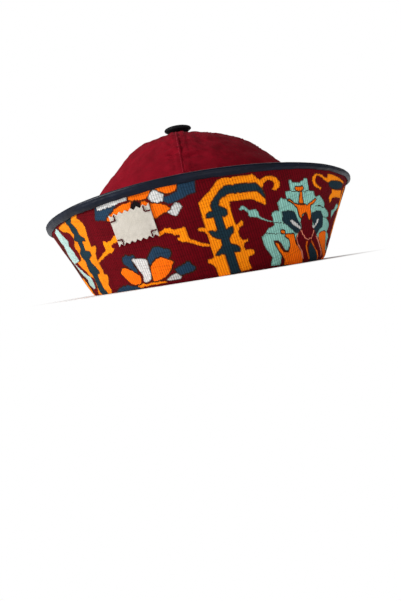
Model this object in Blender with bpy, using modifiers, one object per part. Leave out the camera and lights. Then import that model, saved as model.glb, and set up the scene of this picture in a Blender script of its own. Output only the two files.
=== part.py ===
"""Docker hat: a close brimless cap with a four-panel crown and a deep turned-up cuff.

Metres, +Z up. The hat rests on the floor plane z = 0 on the folded foot of its cuff.
The front of the hat faces -Y and the wearer's right side is -X. The origin is on the
floor, under the middle of the hat.
"""

import math

import bmesh
import bpy
from mathutils import Vector

# ---------------------------------------------------------------- driving sizes
BASE_R = 0.098          # mean outer radius of the cuff's foot (58 cm head inside)
HEAD_OVAL = 1.10        # front-to-back over side-to-side of the head opening
CUFF_H = 0.0690         # height of the cuff with its binding, standing on the floor
CUFF_FLARE = 0.0314     # how far the rim stands outside the foot, all the way round
CUFF_WALL = 0.0030      # face cloth, stiffened facing and turnings together
FOOT_LIP = 0.0066       # width of the turned-in foot that carries the crown
FOOT_T = 0.0017         # thickness of that foot
RIM_SADDLE = 0.0042     # the soft cuff's rim rises and dips by this much round the head
RIM_SETTLE = 0.0012     # how far it has settled below its cut height all the way round
RIM_DROOP = 0.0026      # how much more it hangs a quarter turn to either side of the highest place
RIM_DRAW = 0.65         # how far the rim slides along the cuff's slope as it sinks, as a share
RIM_SADDLE_DEG = -41.0  # angle round the hat where it is highest, and opposite
CROWN_H = 0.1236        # height of the crown's cloth at its middle
CROWN_T = 0.0020        # crown cloth with its felled seams
CROWN_PANELS = 4
CROWN_LEAN = (-0.0036, 0.0029)  # the slack crown settles towards the wearer's right and back
BIND_H = 0.0046         # how far the binding comes down each face of the cuff
BIND_T = 0.0012         # one leg of the folded binding
BIND_WIDER = 0.0030     # how much further it comes down where the strip was turned deeper
BIND_WIDER_DEG = -120.0 # angle round the hat where it is widest
BUTTON_R = 0.0113
BUTTON_H = 0.0060
LABEL_W = 0.0340
LABEL_H = 0.0222
LABEL_T = 0.0009
LABEL_TEETH = 7         # pinked points along the patch's top and bottom
GAP = 0.0003            # clearance between neighbouring pieces
STEPS = 72              # facets round the head

AX = BASE_R / math.sqrt(HEAD_OVAL)
AY = BASE_R * math.sqrt(HEAD_OVAL)

# The crown's side view, from the foot up to the middle of the top. Share of the base
# radius, height as a share of the crown's height.
CROWN_PROFILE = (
    # radius, height
    (0.9590, 0.000),
    (0.9510, 0.170),
    (0.9310, 0.344),
    (0.8960, 0.499),
    (0.8460, 0.599),
    (0.7850, 0.673),
    (0.7120, 0.734),
    (0.6420, 0.786),
    (0.5570, 0.844),
    (0.4730, 0.897),
    (0.3860, 0.936),
    (0.2650, 0.966),
    (0.1330, 0.983),
    (0.0180, 1.000),
)

# Soft hollows and swells of the unlined crown. Angle is round the hat from the front,
# positive towards the wearer's left (+X); height is a share of the crown's height;
# turn and rise are the half sizes of the hollow; depth is into the crown.
CROWN_FOLDS = (
    # name, angle_deg, height, turn_deg, rise, depth_m
    ("right_shoulder", -128.0, 0.78, 26.0, 0.11, 0.0016),
    ("front_seam_pucker", -44.0, 0.72, 12.0, 0.05, 0.0012),
    ("left_shoulder", 52.0, 0.80, 24.0, 0.10, -0.0014),
    ("back_slump", 172.0, 0.82, 34.0, 0.14, 0.0018),
    ("front_fullness", -10.0, 0.66, 26.0, 0.14, -0.0003),
    ("front_top", 10.0, 0.93, 45.0, 0.06, 0.0018),
)
SEAM_RIDGE = 0.0012     # how far the stiff felled seams stand out of the flatter panels
SEAM_REACH = 0.0135     # how far from a seam its ridge has mostly died away

# Where the bare cloth patch is sewn on the cuff: angle round the hat, share of the
# cuff's height, how far it is turned in its own plane, and the lean of its sides.
LABEL_AT_DEG = -65.6
LABEL_RISE = 0.643
LABEL_TURN_DEG = 2.5
LABEL_LEAN = 0.09       # how far its sides lean out of square, per length up


# ---------------------------------------------------------------- helpers
def clear_scene():
    for obj in list(bpy.data.objects):
        bpy.data.objects.remove(obj, do_unlink=True)


def make_material(name, colour, roughness, metallic=0.0):
    mat = bpy.data.materials.new(name)
    mat.use_nodes = True
    shader = mat.node_tree.nodes["Principled BSDF"]
    shader.inputs["Base Color"].default_value = (*colour, 1.0)
    shader.inputs["Roughness"].default_value = roughness
    shader.inputs["Metallic"].default_value = metallic
    mat.diffuse_color = (*colour, 1.0)
    return mat


def new_object(name, bm, collection, material):
    mesh = bpy.data.meshes.new(name)
    bmesh.ops.recalc_face_normals(bm, faces=bm.faces)
    bm.to_mesh(mesh)
    bm.free()
    mesh.materials.append(material)
    mesh.shade_smooth()
    mesh.set_sharp_from_angle(angle=math.radians(35))
    obj = bpy.data.objects.new(name, mesh)
    collection.objects.link(obj)
    return obj


def offset_ring_point(angle, out, z):
    """A point that is 'out' metres outside the oval of the cuff's foot."""
    return Vector(((AX + out) * math.sin(angle), -(AY + out) * math.cos(angle), z))


def cuff_out(z):
    """How far the cuff's outer face stands outside its foot at a height."""
    return CUFF_FLARE * z / CUFF_H


def settled(angle, out, z):
    """A point of the level cuff, as (out, z), moved with the soft rim's rise and dip at an angle."""
    away = angle - math.radians(RIM_SADDLE_DEG)
    rise = RIM_SADDLE * math.cos(2 * away) - RIM_SETTLE - RIM_DROOP * math.sin(away) ** 8
    share = z / CUFF_H
    return out + RIM_DRAW * cuff_out(rise) * share, z + rise * share


def wire(bm, points, closed):
    verts = [bm.verts.new(p) for p in points]
    pairs = list(zip(verts, verts[1:] + verts[:1]))
    return verts, [bm.edges.new(p) for p in (pairs if closed else pairs[:-1])]


def oval_ring(name, section, collection, material, shape=None):
    """A closed section, given as (out, z) from the foot's oval, turned round the head.

    The section is spun as a true circle first and then drawn out to the head's oval, so
    its width is the same all the way round. 'shape' may move a point of the section, given
    its angle, out and z.
    """
    bm = bmesh.new()
    verts, edges = wire(bm, [(BASE_R + out, 0.0, z) for out, z in section], closed=True)
    bmesh.ops.spin(
        bm,
        geom=verts + edges,
        cent=(0, 0, 0),
        axis=(0, 0, 1),
        angle=2 * math.pi,
        steps=STEPS,
        use_merge=True,
    )
    bmesh.ops.remove_doubles(bm, verts=bm.verts, dist=1e-6)
    for v in bm.verts:
        angle = math.atan2(v.co.x, -v.co.y)
        out, z = math.hypot(v.co.x, v.co.y) - BASE_R, v.co.z
        if shape is not None:
            out, z = shape(angle, out, z)
        v.co = offset_ring_point(angle, *settled(angle, out, z))
    return new_object(name, bm, collection, material)


# ---------------------------------------------------------------- crown
def crown_radius_share(height):
    for (r0, h0), (r1, h1) in zip(CROWN_PROFILE, CROWN_PROFILE[1:]):
        if height <= h1:
            return r0 + (r1 - r0) * (height - h0) / max(h1 - h0, 1e-9)
    return CROWN_PROFILE[-1][0]


def crown_sag(angle, height):
    """Depth of the crown's hollows at an angle round the hat and a share of its height."""
    depth = 0.0
    for _name, at_deg, at_h, turn, rise, fold_depth in CROWN_FOLDS:
        away = math.degrees(angle) - at_deg
        away = (away + 180.0) % 360.0 - 180.0
        depth += fold_depth * math.exp(-((away / turn) ** 2) - ((height - at_h) / rise) ** 2)
    quarter = math.pi / CROWN_PANELS
    to_seam = (angle - quarter) % (2 * quarter)
    to_seam = min(to_seam, 2 * quarter - to_seam)
    beside = to_seam * crown_radius_share(height) * BASE_R
    flat = (0.5 - math.exp(-((beside / SEAM_REACH) ** 2))) * min(1.0, max(0.0, height) / 0.5)
    return depth + SEAM_RIDGE * flat


def crown_panel(name, middle_deg, collection, material):
    """One of the crown's four gores: the side view swept over its share of the turn."""
    foot = FOOT_T + GAP
    sweep = 2 * math.pi / CROWN_PANELS
    start = math.radians(middle_deg) - sweep / 2
    bm = bmesh.new()
    points = []
    for r, h in CROWN_PROFILE:
        z = foot + (CROWN_H - foot) * h
        r = r * BASE_R
        points.append((r * math.sin(start), -r * math.cos(start), z))
    verts, edges = wire(bm, points, closed=False)
    bmesh.ops.spin(
        bm,
        geom=verts + edges,
        cent=(0, 0, 0),
        axis=(0, 0, 1),
        angle=sweep,
        steps=STEPS // CROWN_PANELS,
    )
    stretch_x, stretch_y = AX / BASE_R, AY / BASE_R
    # The panel moves out from the middle by this much, which opens the seam to the gap.
    shift = GAP * 0.75
    middle = math.radians(middle_deg)
    for v in bm.verts:
        angle = math.atan2(v.co.x, -v.co.y)
        r = math.hypot(v.co.x, v.co.y)
        h = (v.co.z - foot) / (CROWN_H - foot)
        sag = crown_sag(angle, h)
        level = min(1.0, max(0.0, (h - 0.45) / 0.5))
        v.co.x = (r - sag * (1 - 0.7 * level)) * math.sin(angle) * stretch_x
        v.co.y = -(r - sag * (1 - 0.7 * level)) * math.cos(angle) * stretch_y
        v.co.z -= sag * level * (0.0 if h > 0.985 else 1.0)
        v.co.x += shift * math.sin(middle) + CROWN_LEAN[0] * h * h
        v.co.y += CROWN_LEAN[1] * h * h - shift * math.cos(middle)
    bmesh.ops.recalc_face_normals(bm, faces=bm.faces)
    if sum(f.normal.dot(f.calc_center_median()) for f in bm.faces) < 0:
        bmesh.ops.reverse_faces(bm, faces=bm.faces)
    mesh = bpy.data.meshes.new(name)
    bm.to_mesh(mesh)
    bm.free()
    mesh.materials.append(material)
    obj = bpy.data.objects.new(name, mesh)
    collection.objects.link(obj)
    wall = obj.modifiers.new("cloth wall", "SOLIDIFY")
    wall.thickness = CROWN_T
    wall.offset = -1.0
    wall.use_even_offset = True
    mesh.shade_smooth()
    return obj


# ---------------------------------------------------------------- cuff and binding
def cuff(collection, material):
    top = CUFF_H - BIND_T - GAP
    slant = math.hypot(CUFF_FLARE, CUFF_H)
    wall_out = CUFF_WALL * slant / CUFF_H  # the wall measured level, not square to it
    section = (
        (-FOOT_LIP, 0.0),
        (-0.0012, 0.0),
        (-0.0002, 0.0004),
        (cuff_out(0.0016), 0.0016),
        (cuff_out(top * 0.5), top * 0.5),
        (cuff_out(top), top),
        (cuff_out(top) - wall_out, top),
        (cuff_out(top * 0.5) - wall_out, top * 0.5),
        (cuff_out(FOOT_T) - wall_out, FOOT_T),
        (-FOOT_LIP, FOOT_T),
    )
    return oval_ring("cuff", section, collection, material)


def binding(collection, material):
    """Bias strip folded over the cuff's rim: a channel open downwards."""
    slant = math.hypot(CUFF_FLARE, CUFF_H)
    wall_out = CUFF_WALL * slant / CUFF_H
    leg = BIND_T * slant / CUFF_H
    gap = GAP * slant / CUFF_H
    low = CUFF_H - BIND_H
    shoulder = CUFF_H - 0.0011
    roof = CUFF_H - BIND_T
    section = (
        (cuff_out(low) + gap, low),
        (cuff_out(low) + gap + leg * 0.75, low),
        (cuff_out(shoulder) + gap + leg, shoulder),
        (cuff_out(CUFF_H) + gap - leg * 0.3, CUFF_H),
        (cuff_out(CUFF_H) - wall_out - gap + leg * 0.3, CUFF_H),
        (cuff_out(shoulder) - wall_out - gap - leg, shoulder),
        (cuff_out(low) - wall_out - gap - leg * 0.75, low),
        (cuff_out(low) - wall_out - gap, low),
        (cuff_out(roof) - wall_out - gap, roof),
        (cuff_out(roof) + gap, roof),
    )

    def wider(angle, out, z):
        if z > low + 0.0001:
            return out, z
        lobe = (0.5 + 0.5 * math.cos(angle - math.radians(BIND_WIDER_DEG))) ** 2
        drop = BIND_WIDER * lobe
        return out - cuff_out(drop), z - drop

    return oval_ring("binding", section, collection, material, wider)


# ---------------------------------------------------------------- top button
def top_button(collection, material):
    """Covered button: a low dome with a rolled rim, sewn where the four panels meet."""
    bm = bmesh.new()
    base = CROWN_H + GAP
    rings = 6
    rim = base + 0.0019
    points = [(0.0, 0.0, base), (BUTTON_R * 0.80, 0.0, base), (BUTTON_R * 0.96, 0.0, base + 0.0008)]
    for i in range(rings + 1):
        a = (math.pi / 2) * i / rings
        points.append(
            (
                BUTTON_R * math.cos(a),
                0.0,
                rim + (BUTTON_H - 0.0019) * math.sin(a),
            )
        )
    points[-1] = (0.0, 0.0, base + BUTTON_H)
    verts, edges = wire(bm, points, closed=False)
    bmesh.ops.spin(
        bm, geom=verts + edges, cent=(0, 0, 0), axis=(0, 0, 1), angle=2 * math.pi, steps=32, use_merge=True
    )
    bmesh.ops.remove_doubles(bm, verts=bm.verts, dist=1e-6)
    bmesh.ops.translate(bm, verts=bm.verts, vec=(*CROWN_LEAN, 0.0))
    return new_object("top_button", bm, collection, material)


# ---------------------------------------------------------------- patch
def oval_angle_along(start, length, out):
    """The angle reached after walking a length round the oval that is 'out' outside."""
    steps = 40
    angle = start
    for _ in range(steps):
        speed = math.hypot((AX + out) * math.cos(angle), (AY + out) * math.sin(angle))
        angle += length / steps / speed
    return angle


def label(collection, material):
    """Bare cloth patch with pinked top and bottom edges, following the cuff's face."""
    slant = math.hypot(CUFF_FLARE, CUFF_H)
    columns = LABEL_TEETH * 2
    rows = 4
    tooth = 0.0011
    mid_z = CUFF_H * LABEL_RISE
    mid_angle = math.radians(LABEL_AT_DEG)
    turn = math.radians(LABEL_TURN_DEG)
    bm = bmesh.new()
    grid = []
    for j in range(rows + 1):
        line = []
        for i in range(columns + 1):
            s = (i / columns - 0.5) * LABEL_W
            t = (j / rows - 0.5) * LABEL_H
            if j in (0, rows):
                t += (tooth if i % 2 else -tooth) * (1 if j else -1)
            s += t * LABEL_LEAN
            s, t = s * math.cos(turn) - t * math.sin(turn), s * math.sin(turn) + t * math.cos(turn)
            z = mid_z + t * CUFF_H / slant
            # The patch stands off by the gap, square to the flared face.
            out = cuff_out(z) + GAP * slant / CUFF_H
            angle = oval_angle_along(mid_angle, s, out)
            line.append(bm.verts.new(offset_ring_point(angle, *settled(angle, out, z))))
        grid.append(line)
    for low, high in zip(grid, grid[1:]):
        for i in range(columns):
            bm.faces.new((low[i], low[i + 1], high[i + 1], high[i]))
    bmesh.ops.recalc_face_normals(bm, faces=bm.faces)
    if sum(f.normal.x * f.calc_center_median().x for f in bm.faces) < 0:
        bmesh.ops.reverse_faces(bm, faces=bm.faces)
    mesh = bpy.data.meshes.new("label")
    bm.to_mesh(mesh)
    bm.free()
    mesh.materials.append(material)
    obj = bpy.data.objects.new("label", mesh)
    collection.objects.link(obj)
    wall = obj.modifiers.new("patch cloth", "SOLIDIFY")
    wall.thickness = LABEL_T
    wall.offset = 1.0
    return obj


# ---------------------------------------------------------------- the hat
def main():
    clear_scene()
    parts = bpy.data.collections.new("docker_hat")
    bpy.context.scene.collection.children.link(parts)

    crown_cloth = make_material("crown_cloth", (0.130, 0.010, 0.018), 0.85)
    cuff_cloth = make_material("cuff_cloth", (0.190, 0.012, 0.020), 0.80)
    binding_cloth = make_material("binding_cloth", (0.008, 0.012, 0.018), 0.55)
    button_cloth = make_material("button_cloth", (0.004, 0.004, 0.005), 0.50)
    patch_cloth = make_material("patch_cloth", (0.760, 0.680, 0.600), 0.85)

    for name, middle in (
        ("crown_front", 0.0),
        ("crown_left", 90.0),
        ("crown_back", 180.0),
        ("crown_right", 270.0),
    ):
        crown_panel(name, middle, parts, crown_cloth)
    cuff(parts, cuff_cloth)
    binding(parts, binding_cloth)
    top_button(parts, button_cloth)
    label(parts, patch_cloth)


main()
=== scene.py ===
"""The looks of a docker hat: patterned turned-up cuff, bound rim, four-panel crown, button and patch."""

import math

import bmesh
import bpy
import numpy as np
from mathutils import Matrix, Vector


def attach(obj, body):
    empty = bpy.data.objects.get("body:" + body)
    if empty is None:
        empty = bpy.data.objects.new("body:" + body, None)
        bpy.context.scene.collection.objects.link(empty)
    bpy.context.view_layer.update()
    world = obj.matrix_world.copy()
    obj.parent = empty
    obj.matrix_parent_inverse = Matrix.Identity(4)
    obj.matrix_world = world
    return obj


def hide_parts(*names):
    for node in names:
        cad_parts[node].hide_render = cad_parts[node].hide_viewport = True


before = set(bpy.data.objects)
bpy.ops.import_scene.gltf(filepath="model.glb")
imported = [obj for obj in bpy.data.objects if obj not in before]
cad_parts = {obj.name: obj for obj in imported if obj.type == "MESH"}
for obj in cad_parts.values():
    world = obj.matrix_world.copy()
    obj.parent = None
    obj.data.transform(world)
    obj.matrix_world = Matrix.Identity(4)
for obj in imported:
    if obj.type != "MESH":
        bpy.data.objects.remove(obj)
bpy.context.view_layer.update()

# ---------------------------------------------------------------- sizes, as in the CAD
BASE_R, HEAD_OVAL = 0.098, 1.10
CUFF_H, CUFF_FLARE, CUFF_WALL = 0.0690, 0.0314, 0.0030
FOOT_LIP, FOOT_T = 0.0066, 0.0017
RIM_SADDLE, RIM_SADDLE_DEG, RIM_SETTLE, RIM_DROOP = 0.0042, -41.0, 0.0012, 0.0026
RIM_DRAW = 0.65
CROWN_H, CROWN_T = 0.1236, 0.0020
CROWN_LEAN = (-0.0036, 0.0029)
BIND_H, BIND_T = 0.0046, 0.0012
BIND_WIDER, BIND_WIDER_DEG = 0.0030, -120.0
BUTTON_R, BUTTON_H = 0.0113, 0.0060
GAP = 0.0003
AX, AY = BASE_R / math.sqrt(HEAD_OVAL), BASE_R * math.sqrt(HEAD_OVAL)
SLANT = math.hypot(CUFF_FLARE, CUFF_H)
WALL_OUT = CUFF_WALL * SLANT / CUFF_H
COS_F, SIN_F = CUFF_H / SLANT, CUFF_FLARE / SLANT

# ---------------------------------------------------------------- colours (sRGB, 0 to 255)
INK = {
    "ground": (89, 1, 11),
    "amber": (255, 135, 9),
    "honey": (222, 124, 14),
    "orange": (238, 103, 7),
    "navy": (24, 44, 54),
    "blue": (31, 55, 76),
    "turq": (130, 182, 170),
    # pale: the turquoise yarn painted lighter and greyer, a painted highlight for the band at the cuff's lit left
    # end
    "pale": (158, 184, 178),
    "white": (193, 192, 190),
    "salmon": (206, 120, 96),
    "line": (46, 26, 10),
    "dark": (20, 14, 16),
}


def linear(rgb, scale=1.0):
    c = np.asarray(rgb, float) / 255
    return np.where(c <= 0.04045, c / 12.92, ((c + 0.055) / 1.055) ** 2.4) * scale


def rgba(rgb, scale=1.0):
    return (*[float(x) for x in linear(rgb, scale)], 1.0)


# ---------------------------------------------------------------- the cuff's cloth
# The cuff's face is cut in two curved pieces, joined in line with two of the crown's
# seams. Each lies flat as part of a ring; X and Y are millimetres in that flat cloth,
# with X = 0 at the piece's grain line and Y = 0 at the foot there.
GRAIN_DEG = -58.0
PIECE_START, PIECE_END = -135.0, 45.0
RHO0 = BASE_R / SIN_F * 1000
SLANT_MM = SLANT * 1000

_turn = np.radians(np.linspace(-400, 400, 16001))
_speed = np.hypot(AX * np.cos(_turn), AY * np.sin(_turn))
_walk = np.concatenate([[0], np.cumsum((_speed[1:] + _speed[:-1]) / 2 * np.diff(_turn))])
_walk -= np.interp(math.radians(GRAIN_DEG), _turn, _walk)


def walked(angle):
    return np.interp(angle, _turn, _walk)


def angle_at(length):
    return np.interp(length, _walk, _turn)


def smooth(x, lo, hi):
    t = np.clip((np.asarray(x, float) - lo) / (hi - lo), 0, 1)
    return t * t * (3 - 2 * t)


def ring_point(angle, out, z):
    """A point 'out' metres outside the oval of the cuff's foot, with the rim's soft saddle."""
    away = angle - math.radians(RIM_SADDLE_DEG)
    rise = RIM_SADDLE * np.cos(2 * away) - RIM_SETTLE - RIM_DROOP * np.sin(away) ** 8
    share = z / CUFF_H
    out, z = out + RIM_DRAW * CUFF_FLARE / CUFF_H * rise * share, z + rise * share
    return np.stack([(AX + out) * np.sin(angle), -(AY + out) * np.cos(angle), z], -1)


def waves(a, b, seed, count, low, high):
    """A soft repeatable undulation over two coordinates, about -1 to 1."""
    rng = np.random.default_rng(seed)
    total = np.zeros(np.broadcast(a, b).shape)
    weight = 0.0
    for _ in range(count):
        f = rng.uniform(low, high)
        way = rng.uniform(0, 2 * np.pi)
        phase = rng.uniform(0, 2 * np.pi)
        w = 1 / f
        total = total + w * np.sin(2 * np.pi * f * (a * np.cos(way) + b * np.sin(way)) + phase)
        weight += w * w
    return total / math.sqrt(weight)


# Motifs, charted in the flat cloth. Each row: colour, outline strength, corners.
LEAF = (
    ("amber", 0.35, (
        (32, -9), (32.2, 0), (30.5, 3.2), (27.6, 6.2), (28.2, 8.6), (31, 7.6), (33, 8.8), (33, 26.5),
        (31.5, 28.6), (27.8, 30.2), (27.2, 32.6), (30.5, 32.2), (33, 31.4), (33, 40), (33.4, 50.2),
        (38, 53.6), (44.5, 57), (50.5, 61.6), (53, 62.6), (60, 61.2), (70, 59.4), (77, 58),
        (79.5, 54.6), (81.2, 52.6), (86, 53.4), (90.5, 52.8), (94, 50), (96, 46.2), (95, 42.4),
        (91.6, 41.2), (88, 43), (90.4, 44.2), (91.4, 46.6), (90, 49.4), (86.8, 50.2), (83.6, 49),
        (81.6, 46.6), (82.4, 41), (81.8, 38.4), (81.8, 34.6), (80.4, 33.4), (77.4, 36.2), (73.4, 40.2),
        (70, 41.4), (64, 42.8), (58, 44), (55.4, 44.2), (54.8, 38), (55, 30), (55.4, 26.8), (57.2, 27),
        (60, 29), (61.2, 27.6), (60.4, 24.8), (57.4, 24), (55.8, 21.6), (55.6, 17.6), (56.8, 14.6),
        (59.4, 13.8), (61, 14.4), (60.6, 12.4), (57.6, 11.8), (56.4, 9.4), (56.8, 6.4), (60, 6.2),
        (62.6, 5.4), (63.2, 2.8), (61, 1.2), (58, 0.8), (57, -1.6), (57.2, -9))),
    ("navy", 0.55, (
        (41.2, -9), (41.4, 8.6), (39, 9.6), (36, 8.8), (34.6, 9.6), (36.6, 12.2), (39.8, 14.2), (41.4, 16),
        (41.6, 20.2), (39, 21.6), (35.6, 25), (34.6, 28), (37, 28.6), (39.6, 26.8), (41.2, 28),
        (41, 37.4), (38.6, 37.6), (35.8, 38.4), (36.4, 41), (39, 42.2), (41.4, 41.8), (41.2, 46),
        (42.4, 48.4), (46, 51), (50, 54), (53.6, 56.4), (58, 56), (66, 54.6), (74, 52.8), (77.6, 51.2),
        (79.6, 48.6), (81.4, 45.4), (82.4, 40.6), (81.4, 38.6), (79.8, 41.4), (77.6, 44.6), (74.6, 46.6),
        (66, 47.8), (60, 49.4), (54.8, 50), (50.6, 49), (48, 46.8), (47.2, 44.4), (48.4, 42.8),
        (50.6, 41.2), (52, 39.2), (51.6, 36), (49.2, 34.8), (47.4, 36), (47, 31), (47.6, 25.8),
        (49.6, 26.6), (52.6, 26.8), (52.8, 24.6), (52, 21.8), (49.4, 20.4), (47.8, 19), (47.6, 15.4),
        (49.2, 13.8), (52, 12.2), (53.6, 9.6), (52.6, 6.8), (50.4, 7.2), (48.4, 8.2), (48.4, 0), (48.8, -9))),
)
SPRIG = (
    ("turq", 0.30, (
        (60.4, 37.2), (62.4, 38.6), (64.8, 38.2), (66.4, 36), (67.6, 33.8), (70.4, 33.4), (72.8, 33),
        (74.2, 30.4), (74, 28), (76.2, 24.9), (79.4, 22), (83, 20.4), (82.7, 19.7), (78.8, 21.3),
        (75.4, 24.2), (72.4, 27), (69.6, 28), (67.2, 28.6), (66, 30.4), (66.4, 32), (64.6, 34.8), (62, 35.8))),
)
TENDRIL_LEFTWARD = (
    ("amber", 0.30, (
        (-37, 38), (-38.4, 41.4), (-41, 40.6), (-45, 37.6), (-49, 36.6), (-53.4, 38), (-54, 35.4),
        (-53.4, 32), (-54, 29.8), (-58, 27.2), (-63, 23.8), (-67.4, 21.4), (-66.8, 19.2), (-62, 21.8),
        (-57, 24.4), (-52, 27.4), (-48, 27.4), (-45, 29.2), (-43.8, 31), (-46, 31.6), (-46, 33.2),
        (-43, 35.2), (-38, 35.4))),
)
TENDRIL_RIGHTWARD = (
    ("amber", 0.30, (
        (-3, 34), (-3, 37), (0.6, 37.6), (3.6, 38.8), (7.4, 38.2), (11, 36.2), (14.6, 36), (18.6, 36.6),
        (19.4, 33), (19.2, 28.6), (20.4, 26.2), (25, 23.4), (30, 20.2), (33, 18.6), (32.6, 16.8),
        (28, 18.6), (22, 21.8), (17.6, 25), (14, 25.8), (10.6, 28.2), (11, 29.6), (13, 29.8),
        (13.4, 31.4), (10, 32.2), (6, 34.6), (2.4, 35.4), (0, 34.2))),
)
ROSETTE_LOW = (
    ("blue", 0.6, ((-56, -7.2), (-49.3, -1.3), (-45.4, 0.5), (-39.8, 1.7), (-34.7, 1), (-30.2, 0.1),
        (-28.6, -2), (-29.8, -5.2))),
    ("amber", 0.5, ((-29.8, 1.2), (-25.1, 3), (-21, 2.4), (-15.9, 3.3), (-11.1, 3.5), (-4.9, 3), (-4.8, 1),
        (-11.2, 0.7), (-17.8, 0.3), (-24, -0.5), (-28.4, -1.5), (-30.7, -0.7))),
    ("blue", 0.7, ((-35.5, 24.6), (-31.5, 26.7), (-27.5, 26.1), (-24, 26.2), (-23.7, 23.7), (-25.8, 23.2),
        (-27, 20.6), (-27, 17.8), (-25.5, 14.6), (-26, 11.3), (-29.6, 13.4), (-33.5, 16.5), (-36.2, 19.2),
        (-36.6, 21.9))),
    ("blue", 0.7, ((-14.6, 22.6), (-11.5, 25.3), (-8.9, 28.2), (-6.3, 30.2), (-2.8, 29.8), (-0.1, 28.3),
        (2.8, 27.3), (5.1, 26), (5.4, 23.2), (3.9, 20.7), (1.3, 19.5), (-1, 20.7), (-3.8, 22),
        (-7.8, 20.9), (-11.5, 18.2), (-13.6, 15.8), (-14.6, 18.5))),
    ("orange", 0.7, ((-14.2, 15.5), (-11.7, 17.9), (-7.3, 20.9), (-3.5, 22.2), (-1, 20.7), (2.2, 19.4),
        (4.1, 17.9), (5.5, 16.6), (3.2, 14.1), (1.8, 11.4), (-1.2, 8.3), (-5.7, 5.5), (-10, 3.8),
        (-15.7, 3.8), (-15.1, 7.6), (-14.8, 11.4))),
    ("orange", 0.7, ((-42.9, 11.5), (-39.3, 16.2), (-36.1, 16.6), (-33.3, 15), (-30.3, 13.8),
        (-27.2, 11.7), (-24.7, 9.4), (-24.6, 6.3), (-26.2, 3.1), (-29.6, 1.7), (-33.4, 1.5), (-36.5, 3.3),
        (-38.9, 6.3), (-41, 9))),
    ("blue", 0.7, ((3.7, 11.1), (7.6, 12.5), (11.2, 13.4), (14.1, 14.8), (16.3, 14.6), (17.2, 12),
        (19.5, 9.6), (18.5, 7.4), (16.3, 6.3), (13.3, 6.2), (9.6, 5.6), (6.6, 5.2), (5.1, 7.8))),
    ("white", 0.5, ((-5.2, 4), (-1.4, 6.1), (2.6, 8.1), (5.1, 8), (6.4, 6), (7.9, 4.4), (5.7, 2.7), (2, 3),
        (-2.2, 3))),
    ("white", 0.5, ((-27.8, 23.3), (-22.8, 23.3), (-18.4, 22.6), (-14.8, 21.3), (-14.8, 17.5),
        (-15.2, 13.2), (-15.2, 9.6), (-16.3, 5.8), (-18.9, 4.1), (-21.9, 3.6), (-23.4, 4.9), (-22.6, 8.6),
        (-23.2, 12.1), (-24.9, 14.4), (-25.8, 17.9), (-27, 20.8))),
)
ROSETTE_HIGH = (
    ("blue", 0.4, ((-44.5, 65.5), (-32.3, 68.3), (-22.4, 70.4), (-25, 64.2), (-29.8, 60.4), (-33, 58.6),
        (-36.4, 56.6), (-38.5, 54.3), (-48.1, 55.2))),
    ("white", 0.3, ((-43.3, 64.6), (-34.2, 72.4), (-21, 74.1), (-12.3, 75.1), (-15.3, 66.1), (-24.7, 64.7),
        (-34.5, 63.2), (-43, 62.1))),
    ("orange", 0.6, ((-11.9, 75.1), (6.4, 75), (4.3, 68.5), (2.2, 65.7), (-0.8, 64.4), (-4.1, 63.7),
        (-8.2, 64.8), (-10.8, 64.2), (-14.3, 65.6))),
    ("orange", 0.6, ((-30.1, 60.1), (-25.6, 62.6), (-19.9, 64), (-11.9, 64.7), (-13.1, 61.6),
        (-14.9, 58.8), (-18.1, 51), (-29.7, 52.6), (-37.4, 53.4), (-36.7, 55.8), (-33.2, 57.8))),
    ("dark", 0, ((-14, 61.1), (-11.1, 63.7), (-7.8, 64.1), (-5.4, 61.9), (-6.3, 58.1), (-9.5, 53.9),
        (-15.1, 55))),
    ("orange", 0.5, ((-5.1, 63.1), (-1.8, 63.4), (1.5, 60.9), (1.5, 57.6), (-0.4, 52.1), (-8.2, 53.7),
        (-6.4, 59.3))),
    ("orange", 0.6, ((1.5, 60.9), (6.4, 59.6), (11.3, 57.9), (15, 53.9), (11.7, 52.3), (7.5, 51.5),
        (2.7, 49.3), (-1.4, 50.3), (-0.4, 55.1))),
    ("blue", 0.4, ((11.5, 62.7), (17.1, 63.2), (22.1, 64.1), (23.5, 69.1), (26.6, 74.7), (36.8, 73.6),
        (33.8, 59.7), (27.6, 59.4), (20, 57.4), (13.5, 57.6), (10.7, 60.2))),
    ("orange", 0.6, ((4.6, 69.5), (8.2, 76), (18.5, 76), (25.3, 75.5), (22.6, 65.9), (20.8, 64.2),
        (14.5, 64.1), (11.6, 66), (7.3, 68.9))),
    ("white", 0.45, ((2.9, 67), (6.3, 69.2), (9.3, 67.3), (12.9, 64.4), (11, 60.2), (6.4, 59.6),
        (2.5, 61.6), (0.9, 64.2))),
    ("white", 0.35, ((15.4, 55.2), (19, 57.3), (21.5, 55.6), (22.6, 52.9), (19.9, 50.6), (17.2, 48),
        (14.1, 49.2), (11.1, 52.1), (14.3, 53.2))),
)
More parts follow.
